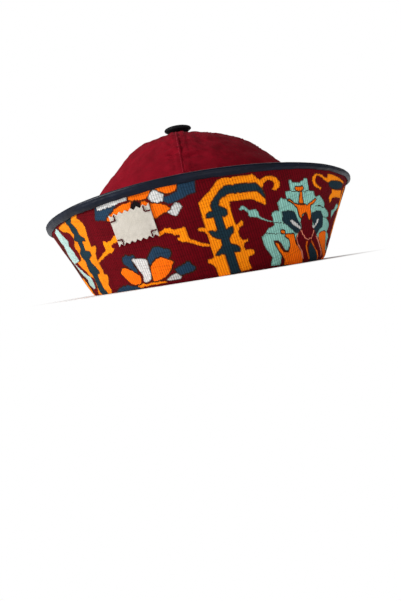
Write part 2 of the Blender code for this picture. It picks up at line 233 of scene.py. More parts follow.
PALMETTE = (
    ("turq", 0.45, ((98.7, 46.4), (100.7, 46.5), (101.5, 44.1), (103.1, 43), (105.5, 42.4), (107.8, 41.5),
        (109.8, 41.5), (111.5, 42.5), (113.1, 42.4), (115, 41.1), (115.1, 38.3), (115.5, 35.1),
        (115.5, 32.1), (119.1, 30.5), (120.2, 29.2), (120.4, 26), (122.3, 23.8), (125, 23.9),
        (127.4, 22.1), (129.5, 18.8), (131.6, 14.6), (131.4, 11), (135, 7.3), (137.9, 3.1), (138, -0.2),
        (135, -0.2), (138.4, -4.5), (140.4, -9.3), (139.6, -12.7), (136.3, -13.9), (140, -18.3),
        (143.3, -24.1), (140.4, -25.5), (140.1, -29.8), (144.4, -36.5), (143.1, -40), (150.6, -51.5),
        (126.4, -40.5), (103.8, -27.6), (83.1, -15.4), (71.6, -9.5), (72.7, -6.1), (74.3, -3.5),
        (73.5, -0.8), (72.1, 2.5), (70.6, 5.8), (70, 9.4), (69.7, 12.4), (69.6, 15.1), (71.2, 15.7),
        (73.6, 17.1), (75.9, 18.8), (78.9, 19.2), (81, 20.1), (80.4, 22.2), (80.9, 24.7), (80.3, 27.5),
        (81.3, 29), (83.8, 29.3), (86.6, 28.4), (87, 31.5), (86.4, 34.3), (88.6, 35.5), (90.6, 36.7),
        (92.7, 34.6), (94.6, 33.7), (94.4, 36.7), (94.7, 39.5), (98.5, 38.5), (98.6, 42.2))),
    ("line", 0, ((98.6, 38.7), (102.4, 36.8), (106, 35.1), (105.8, 34.7), (102.5, 36.2), (98.4, 38.2))),
    ("line", 0, ((109.3, 33.6), (115.3, 32.4), (115.4, 31.8), (109.4, 33))),
    ("line", 0, ((80.3, 21.9), (84.7, 20), (88.8, 18.1), (88.9, 17.5), (84.6, 19.5), (80.2, 21.4))),
    ("line", 0, ((73.5, 16.6), (78.7, 14), (84.5, 11.5), (84.4, 11), (78.6, 13.5), (73.1, 16.2))),
    ("line", 0, ((119.9, 17.9), (124.7, 15.9), (130.9, 11.3), (130.8, 10.5), (124.6, 15.1), (119.9, 17.3))),
    ("line", 0, ((128.7, 4.7), (135.2, 0), (135.1, -0.6), (128.6, 3.9))),
    ("ground", 0.4, ((79.2, -13.4), (81.8, -6), (81.5, -2.9), (79.9, 1.1), (78.1, 5.9), (78.3, 8.2),
        (81.4, 7.2), (83.7, 3.3), (84.9, -1.2), (85.8, -3.1), (88.1, -4.3), (89.6, -1.9), (89.8, -4.9),
        (89.4, -18.9))),
    ("navy", 0.3, ((88.8, 26.6), (91.9, 26.1), (96.5, 24.2), (99.2, 21.8), (100.3, 18.9), (101.5, 14.4),
        (103, 9.9), (103.2, 6.8), (100.9, 5), (98.1, 4.6), (96.3, 7.2), (94.3, 10.4), (91.8, 14),
        (88.8, 18.1), (87.6, 20.6), (88.9, 23.4))),
    ("navy", 0.3, ((115.7, 13.7), (121.1, 13.1), (126.9, 9.9), (129.2, 4.5), (129.1, -1), (128.4, -5.2),
        (124.3, -5.2), (120.5, -7.2), (117.3, -3.3), (115.9, 0.5), (118, 1.1), (116, 5.2), (114.5, 9.2),
        (115.2, 12))),
    ("orange", 0.8, ((88.4, 9.4), (96, 5.7), (96.2, 1.3), (96.4, -2.4), (98.6, -6.6), (100.6, -13),
        (101.5, -19.3), (100.5, -25.5), (82, -14.9), (83.4, -10.3), (82.5, -6.2), (81.3, -2.9),
        (79.8, 0.8), (78.5, 6.3), (80.3, 6.5), (82, 4.1), (83, -0.2), (84.7, -3.8), (88.2, -5.6),
        (90.6, -2.2), (90.9, 1.4), (90.4, 4), (87.7, 7.5))),
    ("orange", 0.8, ((85.2, 13.4), (87.2, 13.3), (88.6, 11.7), (88.5, 10.4), (87.4, 9.7), (85.6, 10.4),
        (84.7, 12))),
    ("orange", 0.6, ((123.6, -8.3), (130.4, -9.5), (134.9, -13), (135.4, -19), (136.8, -26.2),
        (139.5, -35.3), (150.6, -51.5), (145.1, -52.3), (142.5, -54.7), (125.4, -42.9), (117.8, -37.2),
        (118.9, -35.3), (126.1, -38.2), (130.1, -36), (128.8, -29.1), (124.8, -19.1), (122, -11.8))),
    ("ground", 0.3, ((109.1, 17.2), (111.4, 13.2), (115.8, 7.3), (115.8, 1.6), (119.4, -6.4), (123, -14.9),
        (126.9, -23.8), (131.6, -32.7), (134, -38.8), (127.9, -39.9), (120.5, -39.2), (102.1, -26.5),
        (100.9, -18.9), (100.8, -12.5), (98.6, -6.6), (96.6, -1.9), (96.9, 1.5), (99.8, 4.4), (103.7, 6.6),
        (103.3, 11.4), (105.1, 15.1))),
    ("salmon", 0, ((99.1, 4.2), (100, 3.5), (98.2, 0.4), (98.6, -3.9), (101.3, -11.9), (102, -19.5),
        (100.7, -18.6), (100.2, -12), (97.7, -4), (97.2, 0.9))),
    ("salmon", 0, ((118.5, -7.6), (119.9, -8.3), (122.4, -13.7), (125.1, -20.7), (129.5, -29.9),
        (129.3, -35.4), (126.9, -33.6), (126.7, -28.2), (123.4, -20.1), (120.7, -13.1))),
    ("orange", 0.3, ((107.4, -6.1), (108.7, -7), (107.5, -11.4), (108, -16.8), (109.2, -23.9),
        (107.4, -23.5), (106.4, -16.6), (105.7, -10.3))),
    ("orange", 0.3, ((112.6, -7.5), (114.7, -11.4), (117.2, -18.4), (120.5, -22.5), (122.8, -30.2),
        (121.8, -33.8), (119.4, -30.6), (119, -24.2), (115, -17.2), (113.4, -12.4))),
    ("navy", 0.4, ((110.7, -10.2), (113.2, -12), (115.9, -17.7), (118.9, -23.3), (120.8, -30.2),
        (119.9, -38.8), (110.1, -31.7), (109, -23.2), (108.5, -17), (109.2, -12.6))),
    ("salmon", 0, ((102.4, 5.8), (103.3, 5.7), (104.5, 1.6), (106.8, -3), (109.6, -5.7), (112.9, -6.2),
        (115.4, -3.5), (116.7, -1.6), (117.4, -2.5), (116.2, -5), (113.3, -7.2), (109.5, -6.5),
        (106.2, -3.6), (103.7, 1.1))),
    ("white", 0.2, ((94.1, 17), (96.3, 17.2), (98.4, 14.2), (101.5, 10), (103.6, 7.2), (102.4, 6.4),
        (99.8, 8.8), (96.6, 12.5))),
    ("white", 0.2, ((114.9, 2.9), (117.5, 1.9), (120, 3.8), (121.9, 5.7), (123.6, 4.2), (122.1, 1.9),
        (118.8, 0.8), (116.3, -0.6))),
    ("orange", 0.9, ((106.9, 35.1), (108.9, 34.3), (108.5, 30.1), (108.8, 24.7), (104.2, 26.6),
        (105.7, 31.2))),
    ("orange", 0.9, ((103.6, 39.9), (106.8, 38.9), (110.1, 37.3), (110.7, 35.5), (109.3, 34.4),
        (103.8, 36.3), (102.5, 38.7))),
    ("orange", 0.8, ((95.2, 33.5), (97.3, 32.5), (100.3, 28.7), (103.9, 25.7), (107.7, 24.4), (112.1, 22),
        (115, 22.1), (118.2, 23.4), (121, 23.2), (122.1, 21.9), (120.4, 21), (115.4, 20), (114.8, 17.2),
        (114.8, 13.9), (114.2, 9.1), (111.9, 9.6), (110.9, 13.4), (109.8, 16.6), (107.3, 17.4),
        (105.7, 16.5), (105.1, 13.4), (103.3, 15.8), (102.6, 20.2), (102.2, 23.9), (99.6, 27.6),
        (97, 30.7), (95.1, 32.5))),
)

# The bands at the two ends of the cuff's near face, charted where they lie on the hat.
BAND_START = (
    ("honey", 0.35, ((-100.1, 49.2), (-93.1, 52.9), (-86.5, 53.9), (-80.9, 59.6), (-66.9, 63.9),
        (-65, 61.7), (-67.1, 58.4), (-64.7, 57.2), (-62.3, 54.1), (-61, 51.2), (-61.8, 47.2),
        (-62.6, 43.1), (-62.7, 37.7), (-63.2, 34.4), (-58, 35.6), (-57.7, 32.8), (-61.2, 28.4),
        (-61.9, 24.6), (-61.5, 19), (-60.7, 13.5), (-61.1, 10), (-57.9, 10.2), (-57.6, 8), (-61.6, -0.6),
        (-60.3, -4.4), (-64.9, -13.3), (-87.3, -16.7), (-82.2, -7.8), (-80.3, -1.5), (-79.6, 3.6),
        (-85.4, 3.7), (-88.2, 8.1), (-94.2, 11.3), (-98.7, 15.5), (-88.9, 18.8), (-86.5, 21.5),
        (-85.6, 26.6), (-88.5, 30.4), (-87.6, 33.9), (-84.5, 36.8), (-83.8, 41.2), (-85.4, 44.2),
        (-89.2, 45.4), (-96.1, 45.8), (-100.7, 47.6))),
    ("navy", 0.55, ((-84.3, 54.8), (-82, 59.6), (-72.8, 61.7), (-75.2, 57), (-76.8, 54.7), (-74.8, 52.6),
        (-72.6, 49.6), (-72.2, 45.2), (-70.3, 43.1), (-67, 42.1), (-67.4, 39.6), (-72.3, 38.9),
        (-72.3, 35.3), (-72.7, 30.7), (-67.1, 30.4), (-67.2, 26.9), (-72, 23.3), (-71, 18.9),
        (-68.4, 16.2), (-66.6, 14), (-66.6, 10.6), (-70.6, 8.7), (-71.7, 3.2), (-71, -4), (-68.8, -7.3),
        (-68.8, -12.9), (-77, -16.9), (-80.3, -13.2), (-80.9, -7.5), (-79.4, -1.4), (-78.9, 3.3),
        (-80.1, 7.9), (-81.9, 9.5), (-81.1, 15.8), (-80.4, 20.6), (-83.7, 22.7), (-84.5, 26.2),
        (-79.1, 31.3), (-79.4, 34.6), (-79, 37.9), (-84.1, 39), (-79.8, 44.2), (-81.3, 46.9),
        (-81.6, 51.6))),
    # the band's turquoise, painted lighter as a highlight where the left end catches the key light
    ("pale", 0.2, ((-107.6, 47.5), (-103.7, 46), (-101.2, 42.1), (-95.3, 37.2), (-98.7, 31.4), (-94.7, 27),
        (-94.7, 23.2), (-92.1, 18.8), (-96.9, 15.9), (-107.3, 11.4), (-101.9, 8.8), (-96, 7), (-89.6, 4.1),
        (-84.2, 2.8), (-84.1, -2.5), (-86.2, -9), (-91.2, -10.6), (-95.9, -7.9), (-94.3, -1.3),
        (-101.1, 2.2), (-104.3, 5.3), (-107.6, 9.9), (-111.3, 13), (-113.5, 17.2), (-112.8, 23.3),
        (-110.6, 29.8), (-114.7, 33.5), (-114.7, 38.7), (-115.1, 42.4))),
    ("line", 0, ((-120.8, 39.4), (-123.2, 35.6), (-117, 33.1), (-117.4, 23.5), (-120.1, 13.6), (-114, 8.7),
        (-108.1, 3.6), (-101.4, -0.7), (-96.6, -6), (-97.5, -11.9), (-92.5, -17.2), (-95.8, -19.1),
        (-103, -14.9), (-100.9, -8.2), (-106.6, -3.2), (-115.4, -0.1), (-124.4, 3.8), (-127.8, 10.4),
        (-124.5, 20.7), (-122.1, 30.8), (-128.4, 33.4), (-124.9, 37.8))),
    ("honey", 0.1, ((-113.6, -6.5), (-113.9, -16.4), (-110.1, -23.8), (-108.5, -26.9), (-106.2, -31.4),
        (-83.5, -22.8), (-78.1, -19.2), (-95.2, -25), (-103.9, -26), (-100.9, -16.2), (-103.1, -9.4),
        (-105.8, -4.2))),
)
BAND_END = (
    ("amber", 0.4, ((135.5, 30.8), (132.2, 33.9), (129.2, 37), (126.5, 39.4), (124, 39.1), (122.9, 36.8),
        (123.7, 34), (125.6, 31.4), (129.4, 28.8), (127.2, 27.8), (123, 31), (120.6, 34), (119.6, 37.7),
        (120.2, 40.5), (123, 41.5), (128, 40.3), (131.1, 38), (133.8, 35), (136.7, 33.9), (137.9, 36.1),
        (143.1, 33.7), (151, 28.5), (157.6, 24), (167.1, 16.8), (168.1, 13.8), (156.9, 21.5),
        (148.9, 25.9), (142.5, 28.6), (138.3, 28.8))),
    ("navy", 0.5, ((138.2, 28.6), (141.4, 29.2), (148.9, 25.9), (158.4, 20.9), (165.7, 15.3),
        (163.9, 12.6), (152.1, 16.7), (143.5, 21.4), (138.4, 25.6))),
    ("amber", 0.35, ((142.4, 21.4), (152.1, 16.1), (163.8, 10.8), (163.5, 3.1), (148.9, 11.3),
        (143.1, 13.2), (141.4, 11), (139.8, 10.5), (138, 15.8), (140.4, 17.7), (142.3, 18.6))),
    ("turq", 0.2, ((155, 2.4), (160.8, -2.4), (157.5, -4.1), (150.2, -2.9), (147.5, -3.9), (143.1, -5.6),
        (143.9, -2), (143.7, 2), (149.4, 0.3), (151.9, 2))),
    ("amber", 0.2, ((176.5, 9.1), (169.4, 7.3), (165.2, 2.9), (163.3, -4.7), (162.4, -13.1),
        (157.1, -16.5), (154.5, -20.5), (150.8, -28.1), (155.3, -32.1), (161.9, -31.8), (168.7, -23.6),
        (172.1, -14), (170.7, 2.1))),
)


# How the sewn cuff draws the cloth round and up the hat: for each power of the turn
# and of the height, what it adds to the turn in degrees and to the height as a share.
DRAW = (
    # turn, height, add_turn_deg, add_height
    (0, 0, 0.545, 0.035),
    (0, 1, 0.258, -0.042),
    (0, 2, -0.183, -0.029),
    (1, 0, -2.182, 0.045),
    (1, 1, -1.938, -0.026),
    (1, 2, 1.549, 0.008),
    (2, 0, -1.410, -0.110),
    (2, 1, 1.275, 0.053),
    (3, 0, 2.310, -0.005),
)


def drawn(pts):
    """Chart corners moved as the sewn cuff draws the cloth."""
    rho = np.hypot(pts[:, 0], pts[:, 1] + RHO0)
    turn = np.degrees(np.arctan2(pts[:, 0], pts[:, 1] + RHO0))
    height = (rho - RHO0) / SLANT_MM
    a, b = np.clip(turn, -25.5, 33.5) / 30, np.clip(height, -0.1, 1.1) - 0.5
    add_turn = sum(t * a**i * b**j for i, j, t, _ in DRAW)
    add_height = sum(h * a**i * b**j for i, j, _, h in DRAW)
    turn = np.radians(turn + add_turn)
    rho = RHO0 + (height + add_height) * SLANT_MM
    return np.stack([rho * np.sin(turn), rho * np.cos(turn) - RHO0], -1)


class Place:
    """An upright place in the flat cloth: its origin on the ring's middle line, one way along the ring and one up the ribs."""

    def __init__(self, turn_deg, lean, along=274.0):
        a = math.radians(turn_deg)
        self.o = np.array([along * math.sin(a), along * math.cos(a) - RHO0])
        self.m = np.array([[math.cos(a), -lean], [-math.sin(a), 1.0]])

    def carry(self, motif, to, mirror):
        flip = np.array([-1.0 if mirror else 1.0, 1.0])
        rows = []
        for ink, line, corners in motif:
            local = np.linalg.solve(self.m, (np.array(corners, float) - self.o).T).T * flip
            rows.append((ink, line, to.o + local @ to.m.T))
        return rows


def chart():
    """Every motif of one cuff piece, in drawing order, in the flat cloth."""
    leaf, palm, rose = Place(9.6, 0.02), Place(24.0, 0.10), Place(-4.8, 0.06)
    rows = []
    rows += palm.carry(PALMETTE, Place(-38.6, 0.12), True)
    rows += palm.carry(SPRIG, Place(-38.6, 0.12), True)
    rows += rose.carry(TENDRIL_RIGHTWARD, Place(52.6, 0.10), False)
    for motif in (TENDRIL_LEFTWARD, TENDRIL_RIGHTWARD, LEAF, SPRIG):
        rows += [(ink, line, np.array(corners, float)) for ink, line, corners in motif]
    rows = [(ink, line, drawn(pts)) for ink, line, pts in rows]
    laid = [(ink, line, np.array(corners, float)) for ink, line, corners in BAND_START + BAND_END + PALMETTE + ROSETTE_LOW + ROSETTE_HIGH]
    return rows + laid


def painted(x, y):
    """Linear colour of the cloth at points of the flat cloth."""
    colour = np.tile(linear(INK["ground"]), (len(x), 1))
    for ink, line, pts in chart():
        lo, hi = pts.min(0) - 1.2, pts.max(0) + 1.2
        near = np.flatnonzero((x > lo[0]) & (x < hi[0]) & (y > lo[1]) & (y < hi[1]))
        if not len(near):
            continue
        px, py = x[near], y[near]
        inside = np.zeros(len(near), bool)
        away = np.full(len(near), 9.0)
        for (x0, y0), (x1, y1) in zip(pts, np.roll(pts, -1, axis=0)):
            if y0 != y1:
                cross = (y0 > py) != (y1 > py)
                inside ^= cross & (px < (x1 - x0) * (py - y0) / (y1 - y0) + x0)
            dx, dy = x1 - x0, y1 - y0
            t = np.clip(((px - x0) * dx + (py - y0) * dy) / max(dx * dx + dy * dy, 1e-9), 0, 1)
            away = np.minimum(away, np.hypot(px - x0 - t * dx, py - y0 - t * dy))
        colour[near[inside]] = linear(INK[ink])
        if line:
            edge = min(1.0, line * 1.4) * (1 - smooth(away, 0.22, 0.72))
            colour[near] = colour[near] * (1 - edge[:, None]) + linear(INK["line"]) * edge[:, None]
    return colour


# ---------------------------------------------------------------- mesh helpers
def grid_faces(columns, rows, wrap=False):
    """Quads of a grid whose points run row by row within each column."""
    i = np.arange(columns if wrap else columns - 1)[:, None]
    j = np.arange(rows - 1)[None, :]
    a = i * rows + j
    b = ((i + 1) % columns) * rows + j
    return np.stack([a, b, b + 1, a + 1], -1).reshape(-1, 4)


def mesh_from(name, points, quads):
    mesh = bpy.data.meshes.new(name)
    mesh.vertices.add(len(points))
    mesh.vertices.foreach_set("co", np.asarray(points, np.float32).ravel())
    mesh.loops.add(quads.size)
    mesh.loops.foreach_set("vertex_index", quads.ravel().astype(np.int32))
    mesh.polygons.add(len(quads))
    mesh.polygons.foreach_set("loop_start", (np.arange(len(quads)) * quads.shape[1]).astype(np.int32))
    mesh.polygons.foreach_set("use_smooth", np.ones(len(quads), bool))
    mesh.update(calc_edges=True)
    mesh.validate()
    return mesh


def add_piece(name, mesh, material, slot, *nodes):
    obj = bpy.data.objects.new(name, mesh)
    bpy.context.scene.collection.objects.link(obj)
    mesh.materials.clear()
    mesh.materials.append(material)
    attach(obj, "root")
    if nodes:
        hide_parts(*nodes)
    return obj


def vector_attribute(mesh, name, values):
    a = mesh.attributes.new(name, "FLOAT_VECTOR", "POINT")
    a.data.foreach_set("vector", np.asarray(values, np.float32).ravel())


def corner_colours(mesh, name, per_face):
    """One flat colour for each face, held on its corners."""
    counts = np.empty(len(mesh.polygons), np.int32)
    mesh.polygons.foreach_get("loop_total", counts)
    full = np.repeat(np.c_[per_face, np.ones(len(per_face))], counts, axis=0)
    a = mesh.color_attributes.new(name, "FLOAT_COLOR", "CORNER")
    a.data.foreach_set("color", full.astype(np.float32).ravel())


def face_uv(mesh, uv):
    """The piece's map, from a flat position of each point, within 0 to 1."""
    uv = np.asarray(uv, float)
    uv = (uv - uv.min(0)) / (uv.max(0) - uv.min(0)).max() * 0.98 + 0.01
    index = np.empty(len(mesh.loops), np.int32)
    mesh.loops.foreach_get("vertex_index", index)
    layer = mesh.uv_layers.new(name="OFBake")
    layer.data.foreach_set("uv", uv[index].astype(np.float32).ravel())


# ---------------------------------------------------------------- materials
class Cloth:
    """A material's node tree, built a node at a time."""

    def __init__(self, name, roughness, sheen=0.0, sheen_rough=0.4, specular=0.3, sheen_tint=(255, 255, 255)):
        self.mat = bpy.data.materials.new(name)
        self.mat.use_nodes = True
        self.tree = self.mat.node_tree
        self.shader = self.tree.nodes["Principled BSDF"]
        s = self.shader.inputs
        s["Roughness"].default_value = roughness
        s["Specular IOR Level"].default_value = specular
        s["Sheen Weight"].default_value = sheen
        s["Sheen Roughness"].default_value = sheen_rough
        s["Sheen Tint"].default_value = rgba(sheen_tint)

    def node(self, kind, **values):
        n = self.tree.nodes.new(kind)
        for k, v in values.items():
            if hasattr(n, k):
                setattr(n, k, v)
            else:
                n.inputs[k.replace("_", " ")].default_value = v
        return n

    def link(self, a, b):
        self.tree.links.new(a, b)

    def attribute(self, name):
        return self.node("ShaderNodeAttribute", attribute_name=name)

    def noise(self, vector, scale, detail=2.0, roughness=0.5):
        n = self.node("ShaderNodeTexNoise")
        n.inputs["Scale"].default_value = scale
        n.inputs["Detail"].default_value = detail
        n.inputs["Roughness"].default_value = roughness
        self.link(vector, n.inputs["Vector"])
        return n.outputs["Fac"]

    def wave(self, vector, scale, direction="X", distortion=0.0):
        n = self.node("ShaderNodeTexWave", wave_type="BANDS", bands_direction=direction, wave_profile="SIN")
        n.inputs["Scale"].default_value = scale
        n.inputs["Distortion"].default_value = distortion
        n.inputs["Detail"].default_value = 1.0
        self.link(vector, n.inputs["Vector"])
        return n.outputs["Fac"]

    def ramp(self, fac, low, high, at=(0.0, 1.0)):
        n = self.node("ShaderNodeValToRGB")
        n.color_ramp.elements[0].position, n.color_ramp.elements[1].position = at
        n.color_ramp.elements[0].color, n.color_ramp.elements[1].color = low, high
        self.link(fac, n.inputs["Fac"])
        return n.outputs["Color"]

    def mix(self, fac, a, b, how="MULTIPLY"):
        n = self.node("ShaderNodeMix", data_type="RGBA", blend_type=how)
        for value, socket in ((fac, n.inputs[0]), (a, n.inputs[6]), (b, n.inputs[7])):
            if isinstance(value, bpy.types.NodeSocket):
                self.link(value, socket)
            else:
                socket.default_value = value
        return n.outputs[2]

    def add(self, a, b, how="ADD"):
        n = self.node("ShaderNodeMath", operation=how)
        for value, socket in ((a, n.inputs[0]), (b, n.inputs[1])):
            if isinstance(value, bpy.types.NodeSocket):
                self.link(value, socket)
            else:
                socket.default_value = value
        return n.outputs[0]

    def scaled(self, vector, x, y, z):
        n = self.node("ShaderNodeMapping")
        n.inputs["Scale"].default_value = (x, y, z)
        self.link(vector, n.inputs["Vector"])
        return n.outputs["Vector"]

    def bump(self, height, strength, distance):
        n = self.node("ShaderNodeBump")
        n.inputs["Strength"].default_value = strength
        n.inputs["Distance"].default_value = distance
        self.link(height, n.inputs["Height"])
        self.link(n.outputs["Normal"], self.shader.inputs["Normal"])

    def rough(self, fac, low, high):
        n = self.node("ShaderNodeMapRange")
        n.inputs["To Min"].default_value, n.inputs["To Max"].default_value = low, high
        self.link(fac, n.inputs["Value"])
        self.link(n.outputs["Result"], self.shader.inputs["Roughness"])

    def colour(self, socket):
        self.link(socket, self.shader.inputs["Base Color"])


def patterned_cloth():
    c = Cloth("cuff_patterned_cloth", 0.9, sheen=0.0, specular=0.06)
    cloth = c.attribute("cloth").outputs["Vector"]
    woven = c.attribute("woven").outputs["Color"]
    fleck = c.noise(c.scaled(cloth, 900, 2600, 1), 1.0, 2.0, 0.6)
    blotch = c.noise(c.scaled(cloth, 45, 45, 1), 1.0, 2.0)
    tone = c.ramp(fleck, (0.78, 0.78, 0.78, 1), (1.10, 1.10, 1.10, 1), (0.25, 0.75))
    tone = c.mix(1.0, tone, c.ramp(blotch, (0.90, 0.90, 0.90, 1), (1.06, 1.06, 1.06, 1), (0.3, 0.7)))
    c.colour(c.mix(1.0, woven, tone))
    weft = c.wave(cloth, 168.0, "Y", 0.4)
    c.bump(c.add(c.add(weft, 0.35, "MULTIPLY"), c.add(fleck, 0.8, "MULTIPLY")), 0.35, 0.0003)
    c.rough(fleck, 0.74, 0.92)
    return c.mat


def plain_red(name, rgb, pitch, attribute="cloth"):
    c = Cloth(name, 0.95, sheen=0.04, specular=0.05, sheen_tint=(214, 50, 74))
    cloth = c.attribute(attribute).outputs["Vector"]
    warp = c.wave(cloth, 1 / pitch, "X", 0.6)
    weft = c.wave(cloth, 1 / pitch, "Y", 0.6)
    weave = c.add(warp, weft, "ADD")
    fleck = c.noise(c.scaled(cloth, 1500, 1500, 1), 1.0, 2.0, 0.6)
    blotch = c.noise(c.scaled(cloth, 70, 70, 1), 1.0, 4.0, 0.6)
    base = c.ramp(blotch, rgba(rgb, 0.84), rgba(rgb, 1.16), (0.32, 0.68))
    shade = c.ramp(fleck, (0.82, 0.82, 0.82, 1), (1.12, 1.12, 1.12, 1), (0.25, 0.75))
    c.colour(c.mix(1.0, base, shade))
    c.bump(c.add(weave, fleck), 0.30, 0.00025)
    c.rough(fleck, 0.78, 0.93)
    return c.mat


def binding_cloth():
    c = Cloth("binding_navy_cloth", 0.5, sheen=0.0, specular=0.12)
    cloth = c.attribute("cloth").outputs["Vector"]
    fleck = c.noise(c.scaled(cloth, 700, 2200, 1), 1.0, 2.0)
    slow = c.noise(c.scaled(cloth, 60, 160, 1), 1.0, 2.0)
    c.colour(c.mix(1.0, c.ramp(slow, rgba((4, 9, 21)), rgba((8, 17, 34)), (0.3, 0.7)),
                   c.ramp(fleck, (0.8, 0.8, 0.8, 1), (1.2, 1.2, 1.2, 1), (0.3, 0.7))))
    twill = c.wave(c.scaled(cloth, 1400, 1400, 1), 1.0, "DIAGONAL", 0.4)
    c.bump(c.add(twill, fleck), 0.10, 0.0001)
    c.rough(slow, 0.34, 0.46)
    return c.mat


def button_cloth():
    c = Cloth("button_black_cloth", 0.6, sheen=0.0, specular=0.12)
    place = c.node("ShaderNodeTexCoord").outputs["Object"]
    fleck = c.noise(c.scaled(place, 1800, 1800, 1800), 1.0, 2.0)
    c.colour(c.ramp(fleck, rgba((3, 3, 5)), rgba((11, 10, 14)), (0.3, 0.7)))
    c.bump(fleck, 0.25, 0.0002)
    c.rough(fleck, 0.55, 0.70)
    return c.mat


def patch_cloth():
    c = Cloth("patch_cream_cloth", 0.85, sheen=0.1, specular=0.2)
    cloth = c.attribute("cloth").outputs["Vector"]
    fleck = c.noise(c.scaled(cloth, 1300, 1300, 1), 1.0, 2.0)
    slow = c.noise(c.scaled(cloth, 70, 90, 1), 1.0, 2.0)
    c.colour(c.mix(1.0, c.ramp(slow, rgba((184, 178, 167)), rgba((192, 186, 176)), (0.3, 0.7)),
                   c.ramp(fleck, (0.90, 0.89, 0.88, 1), (1.02, 1.02, 1.02, 1), (0.3, 0.7))))
    weave = c.add(c.wave(cloth, 1500, "X", 0.5), c.wave(cloth, 1500, "Y", 0.5))
    c.bump(c.add(weave, fleck), 0.30, 0.0002)
    c.rough(fleck, 0.78, 0.92)
    return c.mat


def thread(name, rgb):
    c = Cloth(name, 0.8, sheen=0.0, specular=0.1)
    place = c.node("ShaderNodeTexCoord").outputs["Object"]
    fleck = c.noise(c.scaled(place, 2500, 2500, 2500), 1.0, 2.0)
    c.colour(c.ramp(fleck, rgba(rgb, 0.75), rgba(rgb, 1.2), (0.3, 0.7)))
    c.bump(fleck, 0.3, 0.0001)
    return c.mat


# ---------------------------------------------------------------- the cuff
RIB = 1.8               # millimetres from rib to rib
RIB_LEAN = 0.05         # how far the ribs lean in the flat cloth, per millimetre up
FACE_TOP = 0.955        # the face cloth ends under the binding
FOLD_MM = 6.0           # of face cloth turned under at the foot


def face_point(angle, v, lift):
    """The cuff's outer face at an angle round the hat and a share v of its slant, lifted square to it. Below v = 0 the cloth turns under the foot."""
    z = v * CUFF_H
    out = v * CUFF_FLARE
    nz, nout = -SIN_F, COS_F
    under = np.clip(-v * SLANT, 0, None)
    r = 0.0011
    bend = math.pi / 2 + math.atan2(CUFF_FLARE, CUFF_H)
    a = np.clip(under / r, 0, bend)
    # the fold's centre is r inside the face at v = 0, raised so that the fold stands on the floor
    cz, cout = r + 0.00005, -r * COS_F
    start = math.atan2(nz, nout)
    fold_out = cout + r * np.cos(start - a)
    fold_z = cz + r * np.sin(start - a)
    past = np.clip(under - r * bend, 0, None)
    lower = v < 0
    out = np.where(lower, fold_out - past, out)
    z = np.where(lower, fold_z, z + (cz + r * nz) * (1 - smooth(v, 0, 0.05)) * 1.0)
    n_out = np.where(lower, np.cos(start - a), nout)
    n_z = np.where(lower, np.sin(start - a), nz)
    lift = np.where(lower, np.minimum(lift, 0.0) * 0, lift)
    return ring_point(angle, out + lift * n_out, z + lift * n_z)


def cuff_undulation(angle, v):
    """Soft unevenness of the cuff's cloth, in metres."""
    a = angle * 0.11
    b = v * SLANT
    return 0.00035 * waves(a, b, 7, 10, 8, 40) * smooth(v, 0.0, 0.2)


